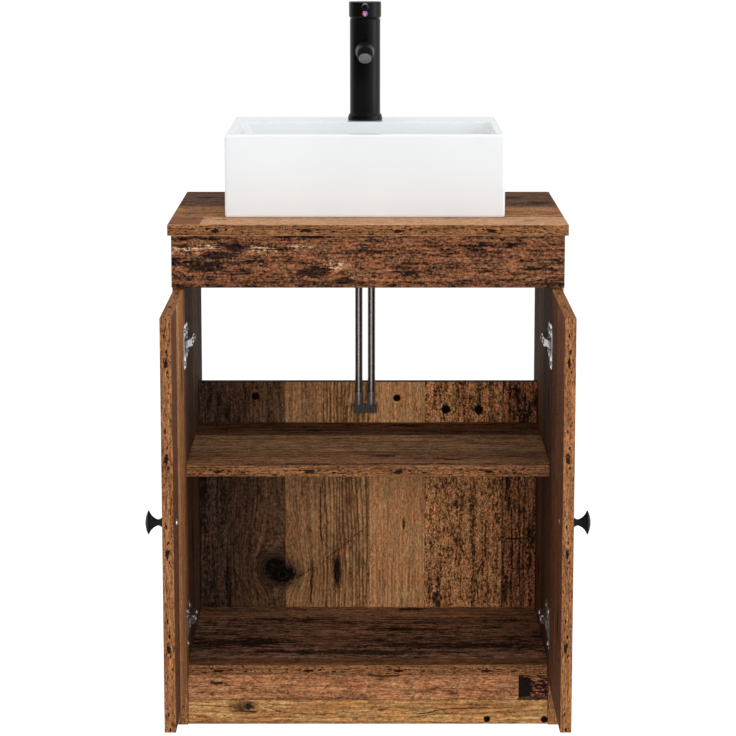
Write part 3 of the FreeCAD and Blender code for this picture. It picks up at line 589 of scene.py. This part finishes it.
    def add_edges(self, strip):
        """The strip on the board's edges: warm brown with short dark dashes and a row of long black spots."""
        graph = self.graph
        facing = graph.facing()
        edge = graph.remap(graph.size(facing[self.through_axis]), 0.75, 0.6)
        at_end = graph.math("GREATER_THAN", graph.size(facing[self.grain_axis]), 0.6)
        run = graph.blend_values(at_end, self.along, self.across)
        deep = graph.less(self.through, self.middle)

        def field(noise):
            point = graph.vector(graph.times(run, noise.along), graph.times(deep, noise.across),
                                 self.seed * EDGE_SEED_STEP)
            return graph.noise(point, noise.detail, noise.roughness)

        band = graph.remap(field(EDGE_BAND), 0.3, 0.7)
        dash = field(EDGE_DASH)
        chip = field(EDGE_CHIP)
        light_share = graph.plus(graph.times(band, 0.75), graph.times(graph.less(chip, 0.35), 0.9))
        tone = graph.mix(light_share, strip.dark, strip.light)
        dashes = graph.most(graph.remap(dash, 0.55, 0.61), graph.remap(chip, 0.575, 0.635))
        tone = graph.mix(graph.times(dashes, strip.dashes), tone, CHAR)
        turn = graph.plus(graph.over(graph.less(run, strip.spot_at), EDGE_PERIOD), 0.5)
        ahead = graph.swing(graph.math("FRACT", turn), EDGE_PERIOD)
        ragged = graph.plus(graph.swing(dash, 2.6), graph.swing(chip, 1.6))
        for start, lane, half_run, half_deep in EDGE_SPOTS:
            forward = graph.over(graph.less(ahead, start * MM), half_run * MM)
            aside = graph.over(graph.less(deep, lane * MM), half_deep * MM)
            spot = graph.remap(graph.less(graph.length(forward, aside), ragged), 1.25, 0.75)
            tone = graph.mix(graph.times(spot, EDGE_SPOT_COVER), tone, BLACK)
        self.colour = graph.mix(edge, self.colour, tone)

    def add_fine_grain(self):
        """Pores along the grain over everything, and print dots finer than the specks on speckled planks."""
        graph = self.graph
        pores = graph.swing(self.field(PORES), PORE_STRENGTH)
        dots = graph.times(graph.swing(self.field(DOTS), self.specks), DOT_STRENGTH)
        factor = graph.most(graph.total(1.0, pores, dots), DARKEST_GRAIN)
        self.colour = graph.mix(1.0, self.colour, factor, "MULTIPLY")

    def finish(self):
        """Matt lacquer, duller in stains and painted shade, with specks, stains, painted shade and joints a
        little sunk.
        """
        graph = self.graph
        height = graph.plus(graph.times(self.fibre, 0.5), graph.times(self.streak, 0.3))
        for sunk, depth in ((self.speck, 0.6), (self.stain, 0.4), (self.joints, 0.8)):
            height = graph.less(height, graph.times(sunk, depth))
        rough = graph.total(0.78, graph.times(self.fibre, 0.14), graph.times(self.stain, 0.08))
        return graph.finish(Base_Color=self.colour, Roughness=rough, Specular_IOR_Level=0.08,
                            Normal=graph.bump(height, 0.25 * MM, 0.6))


def ceramic():
    """White glaze: almost even, with a faint waver in the glaze."""
    graph = Graph("ceramic_glaze")
    point = graph.point()
    waver = graph.noise(point, detail=2, scale=22.0)
    cloud = graph.noise(point, detail=3, scale=6.0)
    colour = graph.mix(graph.remap(cloud, 0.3, 0.7), (0.822, 0.852, 0.870, 1.0), (0.852, 0.882, 0.900, 1.0))
    return graph.finish(Base_Color=colour, Roughness=graph.remap(waver, 0.2, 0.8, 0.10, 0.16),
                        Specular_IOR_Level=0.5, Coat_Weight=0.4, Coat_Roughness=0.05,
                        Normal=graph.bump(waver, 0.3 * MM, 0.05))


def matt_black(name, tone, rough, specular):
    """Black powder coat with a very fine grain."""
    graph = Graph(name)
    point = graph.point()
    grain = graph.noise(point, detail=2, scale=2600.0)
    cloud = graph.noise(point, detail=3, scale=35.0)
    colour = graph.mix(graph.remap(cloud, 0.3, 0.7), grey(tone * 0.8), grey(tone * 1.2))
    return graph.finish(Base_Color=colour, Roughness=graph.remap(cloud, 0.2, 0.8, rough - 0.03, rough + 0.03),
                        Specular_IOR_Level=specular, Normal=graph.bump(grain, 0.05 * MM, 0.25))


def plain_metal(name, tone, rough, mottle=0.06, metallic=1.0):
    """Plated or drawn metal with faint upright brushing."""
    graph = Graph(name)
    place = graph.place()
    waves = {"x": 900.0, "y": 900.0, "z": 72.0}
    brush = graph.noise(graph.vector(*(graph.times(place[axis], waves[axis]) for axis in "xyz")), detail=3)
    cloud = graph.noise(graph.point(), detail=3, scale=120.0)
    colour = graph.mix(graph.remap(cloud, 0.35, 0.7), dimmed(tone, 0.82), tone)
    return graph.finish(Base_Color=colour, Metallic=metallic,
                        Roughness=graph.remap(brush, 0.25, 0.75, rough - mottle, rough + mottle),
                        Normal=graph.bump(brush, 0.03 * MM, 0.3))


def moulded(name, tone, rough):
    """Rubber or plastic with a fine moulded grain."""
    graph = Graph(name)
    point = graph.point()
    grain = graph.noise(point, detail=2, scale=700.0)
    cloud = graph.noise(point, detail=3, scale=45.0)
    colour = graph.mix(graph.remap(cloud, 0.35, 0.65), dimmed(tone, 0.85), tone)
    return graph.finish(Base_Color=colour, Roughness=graph.remap(grain, 0.3, 0.7, rough - 0.05, rough + 0.05),
                        Normal=graph.bump(grain, 0.04 * MM, 0.3))


def beech():
    """Pale turned dowels."""
    graph = Graph("beech_dowel")
    streak = graph.noise(graph.point(), detail=3, scale=300.0)
    colour = graph.mix(graph.remap(streak, 0.35, 0.65), srgb(196, 152, 104), srgb(222, 184, 138))
    return graph.finish(Base_Color=colour, Roughness=0.6, Normal=graph.bump(streak, 0.1 * MM, 0.3))


def hose_sleeve(side):
    """Steel braid round one hose, drawn from the angle round its centre line and the height, with painted
    shade in its hollows.
    """
    graph = Graph(side + "_hose_braid")
    place = graph.place()
    angle = graph.math("ARCTAN2", graph.less(place["y"], HOSE_Y), graph.less(place["x"], HOSE_X[side]))
    round_turns = graph.times(angle, BRAID_STRANDS / math.tau)
    climb = graph.times(place["z"], 1 / BRAID_RISE)
    right = graph.math("PINGPONG", graph.plus(round_turns, climb), 0.5)
    left = graph.math("PINGPONG", graph.less(round_turns, climb), 0.5)
    over = graph.math("GREATER_THAN", graph.math("SINE", graph.times(climb, math.pi)), 0.0)
    weave = graph.blend_values(over, right, left)
    wires = graph.math("PINGPONG", graph.times(weave, BRAID_WIRES), 1.0)
    height = graph.plus(graph.times(graph.remap(weave, 0.0, 0.22), 0.8), graph.times(wires, 0.2))
    # Darker where the braid lies low, in the hollows between strands and wires: painted shade
    colour = graph.mix(graph.remap(height, 0.1, 0.9), grey(0.26), grey(0.42))
    return graph.finish(Base_Color=colour, Metallic=1.0, Roughness=graph.remap(height, 0.0, 1.0, 0.40, 0.30),
                        Normal=graph.bump(height, 0.1 * MM, 0.3))


def enamel_with_painted_highlight(name, tone):
    """Glossy colour of one half of the temperature mark, with a pale line that leans outwards: a painted
    highlight.
    """
    graph = Graph(name)
    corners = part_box("tap_hot_mark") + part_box("tap_cold_mark")
    middle = sum(corners, Vector()) / len(corners)
    place = graph.place()
    across = graph.less(place["x"], middle.x)
    up = graph.less(place["z"], middle.z)
    lean = graph.less(graph.size(across), graph.times(up, 0.35))
    from_line = graph.size(graph.less(lean, 1.3 * MM))
    # The pale line is a painted highlight: the mark's gloss drawn into its colour
    pale = graph.remap(from_line, 0.9 * MM, 0.2 * MM, 0.0, 0.65)
    return graph.finish(Base_Color=graph.mix(pale, tone, srgb(226, 214, 232)), Roughness=0.3)


TOP = Board(
    "countertop", "top_wood", grain="x", across="y", end=417, seed=0.12, ring_width=9.0,
    planks=[
        Plank(-33, srgb(212, 168, 130), srgb(162, 116, 81), 0.20, 0.22, 0.05, 0.00),
        Plank(66, srgb(190, 134, 88), srgb(96, 65, 45), 0.34, 0.45, 0.20, 0.20),
        Plank(203, srgb(124, 86, 61), srgb(48, 33, 26), 0.42, 0.50, 0.30, 0.36),
    ],
    marks=Marks(
        blocks=[Block(-290, -243, -30, 66, srgb(136, 86, 62), -0.5)],
        stains=[Spot(-262, 40, 26, 8), Spot(262, 250, 40, 30), Spot(-262, 118, 12, 8), Spot(-215, 30, 12, 4),
                Spot(232, 20, 12, 4), Spot(-240, 330, 50, 12), Spot(222, 330, 30, 10)]))

APRON = Board(
    "front_apron", "apron_wood", grain="x", across="z", end=740, seed=0.57,
    planks=[
        Plank(662, srgb(140, 92, 64), srgb(39, 27, 23), 0.58, 0.44, 0.05, 0.42),
        Plank(672, srgb(147, 97, 67), srgb(39, 27, 23), 0.62, 0.40, 0.05, 0.36, 0.0),
    ],
    marks=Marks(
        knots=[Spot(-191, 722, 10, 7, 0.8)],
        stains=[Spot(-214, 710, 36, 8, 0.95), Spot(-256, 698, 50, 15, 0.84), Spot(-200, 724, 26, 8, 0.9),
                Spot(-82, 685, 34, 8, 1.05), Spot(-36, 673, 18, 6, 1.05), Spot(180, 724, 110, 18, 0.40),
                Spot(252, 712, 50, 14, 0.30), Spot(266, 668, 26, 5), Spot(66, 684, 12, 5, 0.7),
                # Spot(-100, 738) is no stain: painted shadow of the countertop's overhang along the apron's
                # top
                Spot(4, 705, 40, 14, 0.40), Spot(-100, 738, 42, 2), Spot(-140, 664, 160, 4, 0.6)],
        pale=[Spot(-264, 719, 30, 7), Spot(-230, 721, 20, 6), Spot(-154, 719, 30, 6), Spot(-100, 722, 20, 5),
              Spot(-57, 695, 32, 8)],
        cracks=[Crack(-257, 733, -255, 707, 1.0), Crack(-144, 730, -146, 706, 1.0),
                # The last crack is no crack: the same painted shadow line under the countertop's overhang
                Crack(-140, 737, -62, 737, 1.6)]))

BACK = Board(
    "back_panel", "back_wood", grain="z", across="x", end=269, seed=0.31, ring_width=6.2, edge=BACK_EDGE,
    planks=[
        Plank(-269, srgb(92, 67, 52), srgb(28, 20, 17), 0.50, 0.20, 0.10, 0.40),
        Plank(-221, srgb(98, 70, 52), srgb(44, 30, 24), 0.46, 0.22, 0.15, 0.34),
        Plank(-188, srgb(120, 87, 62), srgb(50, 35, 26), 0.40, 0.18, 0.30, 0.30, 0.0),
        Plank(-133, srgb(182, 136, 94), srgb(116, 82, 56), 0.28, 0.15, 0.30, 0.12),
        Plank(-74, srgb(198, 149, 102), srgb(98, 67, 44), 0.24, 0.10, 1.00, 0.05, 0.0),
        Plank(1.5, srgb(216, 162, 113), srgb(150, 106, 71), 0.20, 0.16, 0.30, 0.00),
        Plank(89, srgb(202, 144, 96), srgb(76, 50, 33), 0.84, 0.05, 0.00, 0.12),
        Plank(214, srgb(176, 116, 78), srgb(38, 26, 20), 0.66, 0.34, 0.30, 0.46),
    ],
    marks=Marks(
        knots=[Spot(190, -152, 30, 22, 0.0), Spot(157, -151, 18, 19, 0.95), Spot(146, -138, 15, 21, 0.95),
               Spot(151, -50, 22, 4.5, 0.9)],
        holes=[Hole(438, -179, 6.6), Hole(435, 46, 5.8), Hole(416, 124, 7.2), Hole(416, 176, 7.8)],
        stains=[Spot(196, -160, 36, 26, 0.5), Spot(274, 96, 9, 6), Spot(230, 58, 12, 3),
                Spot(262, -262, 60, 8), Spot(412, -222, 40, 5), Spot(120, -225, 60, 6), Spot(190, 262, 40, 8),
                Spot(280, 224, 40, 6), Spot(120, 222, 40, 6), Spot(104, 112, 30, 8),
                # The last two spots are no stains: painted shade that darkens the top of the back panel
                Spot(428, 244, 60, 26, 0.62), Spot(430, -196, 50, 40, 0.42)],
        cracks=[Crack(295, -76, 198, -75, 1.8), Crack(172, -90, 95, -92, 2.0),
                Crack(160, -220, 116, -192, 1.2), Crack(139, -119, 160, -81, 1.2),
                Crack(160, -81, 228, 1, 0.8), Crack(240, 189, 172, 188, 1.8),
                Crack(172, 188, 144, 174, 2.6), Crack(144, 174, 100, 179, 2.0),
                Crack(206, 217, 206, 257, 2.4), Crack(90, 245, 330, 240, 1.6),
                Crack(150, 232, 260, 230, 1.4)]))

PLINTH = Board(
    "plinth", "plinth_wood", grain="x", across="z", end=76.5, seed=0.77,
    planks=[
        Plank(0, srgb(213, 164, 108), srgb(138, 95, 56), 0.24, 0.24, 0.45, 0.02),
        Plank(37.5, srgb(198, 140, 98), srgb(112, 71, 47), 0.32, 0.42, 0.10, 0.10),
    ],
    marks=Marks(
        knots=[Spot(-188, 27, 16, 6.5, 0.62)],
        holes=[Hole(178, 7, 5.4), Hole(264, 7, 5.4)],
        blocks=[Block(225, 290, 38, 76.5, srgb(160, 96, 70), 0.06), Block(225, 243, 38, 76.5, CHAR, 0.0)],
        stains=[Spot(-230, 63, 14, 3), Spot(-208, 59, 6, 2), Spot(-180, 26, 9, 5, 0.92),
                Spot(250, 74, 30, 4), Spot(17, 75, 38, 2), Spot(246, 40, 30, 4)],
        cracks=[Crack(-68, 50, -58, 62, 1.2), Crack(60, 52, 70, 64, 0.9), Crack(-278, 30, -200, 27, 0.9),
                Crack(-160, 27, -120, 16, 0.9), Crack(-120, 16, -60, 14, 0.8), Crack(70, 14, 120, 24, 1.3),
                Crack(120, 24, 184, 25, 1.3), Crack(60, 10, 130, 18, 0.9), Crack(16, 20, 30, 24, 2.0),
                Crack(-206, 20, -162, 19, 1.8)]))

BOTTOM = Board(
    "bottom_panel", "bottom_wood", grain="x", across="y", end=417, seed=0.43,
    planks=[
        Plank(-12, srgb(150, 104, 68), srgb(70, 47, 33), 0.34, 0.45, 0.10, 0.10),
        Plank(22, srgb(182, 135, 106), srgb(36, 26, 22), 0.35, 0.66, 0.20, 0.56),
        Plank(150, srgb(200, 150, 117), srgb(38, 27, 23), 0.35, 0.66, 0.20, 0.52),
        Plank(262, srgb(212, 164, 124), srgb(90, 66, 50), 0.34, 0.40, 0.20, 0.20),
    ],
    marks=Marks(
        stains=[Spot(70, 312, 30, 14), Spot(-30, 60, 200, 16, 0.95), Spot(-200, 110, 120, 30, 0.95),
                Spot(130, 98, 170, 22, 0.95), Spot(60, 190, 90, 12), Spot(-120, 250, 110, 14)]))

SHELF = Board(
    "shelf", "shelf_wood", grain="x", across="y", end=328, seed=0.88,
    planks=[
        Plank(-12, srgb(198, 142, 100), srgb(96, 68, 50), 0.34, 0.40, 0.15, 0.16),
        Plank(92, srgb(244, 188, 136), srgb(112, 81, 60), 0.30, 0.42, 0.25, 0.10),
        Plank(222, srgb(158, 110, 76), srgb(58, 41, 32), 0.36, 0.50, 0.20, 0.30),
    ],
    marks=Marks(
        stains=[Spot(26, 62, 24, 8), Spot(116, 36, 28, 8), Spot(-80, 262, 70, 10), Spot(60, 300, 34, 14),
                Spot(180, 250, 120, 10), Spot(-20, 2, 240, 6)]))

RAIL = Board(
    "rear_rail", "rail_wood", grain="x", across="z", end=740, seed=0.66,
    planks=[Plank(660, srgb(160, 110, 72), srgb(84, 56, 40), 0.35, 0.40, 0.30, 0.20)])


def side_panel(side, seed, marks):
    return Board(
        side + "_side_panel", side + "_side_wood", grain="z", across="y", end=417, marks=marks, seed=seed,
        edge=UPRIGHT_EDGE,
        planks=[
            Plank(-12, srgb(116, 82, 62), srgb(62, 44, 35), 0.35, 0.35, 0.20, 0.25),
            Plank(95, srgb(108, 80, 62), srgb(56, 41, 34), 0.35, 0.35, 0.25, 0.40),
            Plank(180, srgb(140, 104, 78), srgb(82, 58, 44), 0.30, 0.30, 0.50, 0.10),
            Plank(305, srgb(92, 68, 54), srgb(42, 31, 27), 0.40, 0.30, 0.20, 0.50),
        ])


def door(side, seed, tones, marks):
    """A door of four planks, with a light and a dark tone for each, from its free edge to its hinges."""
    starts = (-300, -205, -150, -60)
    planks = [Plank(start, light, dark, 0.30, 0.30, 0.40, 0.18)
              for start, (light, dark) in zip(starts, tones)]
    return Board(side + "_door", side + "_door_wood", grain="z", across="y", end=-17.5, planks=planks,
                 marks=marks, seed=seed, edge=UPRIGHT_EDGE)


LEFT_SIDE = side_panel("left", 0.21, Marks(
    knots=[Spot(250, 138, 24, 11), Spot(560, 335, 16, 8)],
    holes=[Hole(640, 50, 5.5), Hole(120, 380, 5.5)],
    cracks=[Crack(380, 250, 520, 254, 1.6)]))

RIGHT_SIDE = side_panel("right", 0.61, Marks(
    knots=[Spot(480, 52, 24, 11), Spot(180, 240, 16, 8)],
    holes=[Hole(90, 130, 5.5), Hole(600, 370, 5.5)],
    cracks=[Crack(250, 390, 400, 386, 1.6)]))

LEFT_DOOR = door(
    "left", 0.35,
    tones=((RUSSET, UMBER), (srgb(232, 178, 122), RUSSET), (srgb(206, 150, 98), RUSSET), (HONEY, UMBER)),
    marks=Marks(knots=[Spot(545, -100, 20, 8)], holes=[Hole(150, -255, 5.0)],
                cracks=[Crack(240, -172, 360, -174, 1.4)]))

RIGHT_DOOR = door(
    "right", 0.85,
    tones=((RUSSET, UMBER), (ORANGE, DARK), (RUSSET, DARK), (BROWN, CHAR)),
    marks=Marks(knots=[Spot(215, -228, 22, 9)], holes=[Hole(520, -75, 5.0)],
                cracks=[Crack(400, -180, 520, -177, 1.4)]))

BOARDS = (TOP, APRON, BACK, PLINTH, BOTTOM, SHELF, LEFT_SIDE, RIGHT_SIDE, RAIL, LEFT_DOOR, RIGHT_DOOR)


def dress(material, *names):
    """Gives CAD nodes their finish."""
    for name in names:
        mesh = frame["nodes"][name].data
        mesh.materials.clear()
        mesh.materials.append(material)


def dress_fittings():
    """Finishes by the record's material slots, but for the knobs and the spout, that have their own."""
    by_slot = {
        "nickel": plain_metal("nickel_plate", srgb(226, 226, 226), 0.18, mottle=0.04, metallic=0.95),
        "zinc_steel": plain_metal("zinc_plate", srgb(190, 192, 196), 0.34),
        "black_metal": matt_black("matt_black_coat", 0.0038, 0.31, 0.15),
        "ceramic_white": ceramic(),
        "chrome_waste": plain_metal("chrome_plate", srgb(226, 228, 230), 0.10, mottle=0.02),
        "black_rubber": moulded("black_rubber_seal", srgb(30, 30, 31), 0.7),
        "aerator_grey": plain_metal("aerator_mesh", srgb(150, 150, 150), 0.5),
        "cartridge_plastic": moulded("cartridge_moulding", srgb(196, 198, 200), 0.4),
        "brass": plain_metal("drawn_brass", srgb(206, 170, 96), 0.3),
        "hose_fitting": plain_metal("hose_fitting_steel", srgb(172, 172, 172), 0.27, metallic=0.85),
        "hot_red": enamel_with_painted_highlight("hot_mark_red", srgb(222, 44, 48)),
        "cold_blue": enamel_with_painted_highlight("cold_mark_blue", srgb(52, 92, 196)),
        "dowel_wood": beech(),
    }
    for piece in frame["record"]["subparts"]:
        if piece["material_slot"] in by_slot:
            dress(by_slot[piece["material_slot"]], piece["node"])
    dress(matt_black("knob_black_coat", 0.02, 0.5, 0.07), "left_knob", "right_knob")
    dress(matt_black("spout_black_coat", 0.007, 0.33, 0.022), "tap_spout")


def make_hose(side):
    """One braided hose: a smooth hanging line from the tap's tail to its ferrule."""
    heights = (HOSE_TOP, HOSE_TOP - HOSE_EASE, HOSE_BOTTOM + HOSE_EASE, HOSE_BOTTOM)
    route = [(HOSE_X[side], HOSE_Y, height) for height in heights]
    curve = bpy.data.curves.new(side + "_hose_line", "CURVE")
    curve.dimensions = "3D"
    spline = curve.splines.new("NURBS")
    spline.points.add(len(route) - 1)
    for spot, place in zip(spline.points, route):
        spot.co = (*place, 1.0)
    spline.order_u = 3
    spline.use_endpoint_u = True
    spline.resolution_u = HOSE_LENGTH_STEPS
    curve.bevel_depth = HOSE_DIAMETER / 2
    curve.bevel_resolution = HOSE_ROUND_STEPS
    curve.materials.append(hose_sleeve(side))
    hose = bpy.data.objects.new(side + "_braided_hose", curve)
    bpy.context.scene.collection.objects.link(hose)
    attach(hose, "carcass")
    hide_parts(side + "_hose")
    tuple(route[0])


def hang_lamp(lamp):
    """Adds a lamp that shines from its place to its target and is hidden from the eye."""
    light = bpy.data.lights.new(lamp.name, "AREA")
    light.shape = "RECTANGLE"
    light.size = lamp.width
    light.size_y = lamp.height
    light.energy = lamp.watts
    softbox = bpy.data.objects.new(lamp.name, light)
    softbox.location = lamp.place
    softbox.rotation_euler = (Vector(lamp.target) - Vector(lamp.place)).to_track_quat("-Z", "Y").to_euler()
    softbox.visible_camera = False
    softbox.visible_glossy = lamp.mirrored
    softbox.visible_diffuse = lamp.scattered
    bpy.context.scene.collection.objects.link(softbox)


def add_node(tree, kind, *links, **settings):
    """Adds a node with settings, and links outputs to its first sockets or puts numbers there."""
    node = tree.nodes.new(kind)
    for name, value in settings.items():
        setattr(node, name, value)
    for value, socket in zip(links, node.inputs):
        if isinstance(value, bpy.types.NodeSocket):
            tree.links.new(value, socket)
        else:
            socket.default_value = value
    return node


def mirrored_room(tree, way):
    """Brightness of the studio in mirrors by direction: white, but for the dim side in front."""
    dim_side = (-math.sin(DIM_SIDE_TURN), -math.cos(DIM_SIDE_TURN), 0.0)
    turn = add_node(tree, "ShaderNodeVectorMath", way, dim_side, operation="DOT_PRODUCT")
    fade = add_node(tree, "ShaderNodeMapRange", turn.outputs["Value"], *DIM_SIDE_FADE, ROOM_IN_MIRRORS,
                    DIM_SIDE_IN_MIRRORS, interpolation_type="SMOOTHSTEP")
    return fade.outputs["Result"]


def by_ray(tree, scattered, in_mirrors, seen):
    """Chooses a shader for scattered light, for mirrored rays and for what the eye sees."""
    path = add_node(tree, "ShaderNodeLightPath").outputs
    lit = add_node(tree, "ShaderNodeMixShader", path["Is Glossy Ray"], scattered, in_mirrors)
    eye = add_node(tree, "ShaderNodeMath", path["Is Camera Ray"], path["Is Transmission Ray"],
                   operation="MAXIMUM")
    return add_node(tree, "ShaderNodeMixShader", eye.outputs[0], lit.outputs[0], seen).outputs[0]


def make_world():
    """White to the eye, a dimmer even light on surfaces, and in mirrors white but for the dim side."""
    world = bpy.data.worlds.new("studio")
    world.use_nodes = True
    tree = world.node_tree
    tree.nodes.clear()

    def background(strength):
        return add_node(tree, "ShaderNodeBackground", grey(1.0), strength).outputs[0]

    way = add_node(tree, "ShaderNodeTexCoord").outputs["Generated"]
    shader = by_ray(tree, background(AMBIENT), background(mirrored_room(tree, way)), background(1.0))
    add_node(tree, "ShaderNodeOutputWorld", shader)
    bpy.context.scene.world = world


def make_floor():
    """Wide pale floor: white to the eye where the light reaches it, darker in the cabinet's shadow."""
    mesh = bpy.data.meshes.new("floor")
    corners = [(x * FLOOR_REACH, y * FLOOR_REACH, 0) for x, y in ((-1, -1), (1, -1), (1, 1), (-1, 1))]
    mesh.from_pydata(corners, [], [(0, 1, 2, 3)])
    floor = bpy.data.objects.new("floor", mesh)
    bpy.context.scene.collection.objects.link(floor)
    material = bpy.data.materials.new("pale_floor")
    material.use_nodes = True
    tree = material.node_tree
    tree.nodes.clear()

    def glow(strength):
        return add_node(tree, "ShaderNodeEmission", grey(1.0), strength).outputs[0]

    matt = add_node(tree, "ShaderNodeBsdfDiffuse", grey(FLOOR_TONE)).outputs[0]
    shaded = add_node(tree, "ShaderNodeBsdfDiffuse", grey(SEEN_FLOOR_TONE)).outputs[0]
    seen = add_node(tree, "ShaderNodeAddShader", shaded, glow(SEEN_FLOOR_GLOW)).outputs[0]
    place = add_node(tree, "ShaderNodeTexCoord").outputs["Object"]
    way = add_node(tree, "ShaderNodeVectorMath", place, operation="NORMALIZE").outputs["Vector"]
    add_node(tree, "ShaderNodeOutputMaterial", by_ray(tree, matt, glow(mirrored_room(tree, way)), seen))
    mesh.materials.append(material)


def make_camera():
    camera = bpy.data.cameras.new("camera")
    camera.lens = CAMERA_LENS_MM
    camera.sensor_width = CAMERA_SENSOR_MM
    camera.clip_end = CAMERA_SIGHT
    eye = bpy.data.objects.new("camera", camera)
    eye.location = CAMERA_PLACE
    eye.rotation_euler = (math.pi / 2 - CAMERA_PITCH, 0.0, 0.0)
    bpy.context.scene.collection.objects.link(eye)
    bpy.context.scene.camera = eye


make_camera()
make_hose("hot")
make_hose("cold")
for board in BOARDS:
    dress(Wood(board).material, board.node)
dress_fittings()
make_floor()
make_world()
for lamp in LAMPS:
    hang_lamp(lamp)
bpy.context.scene.view_settings.view_transform = "Standard"
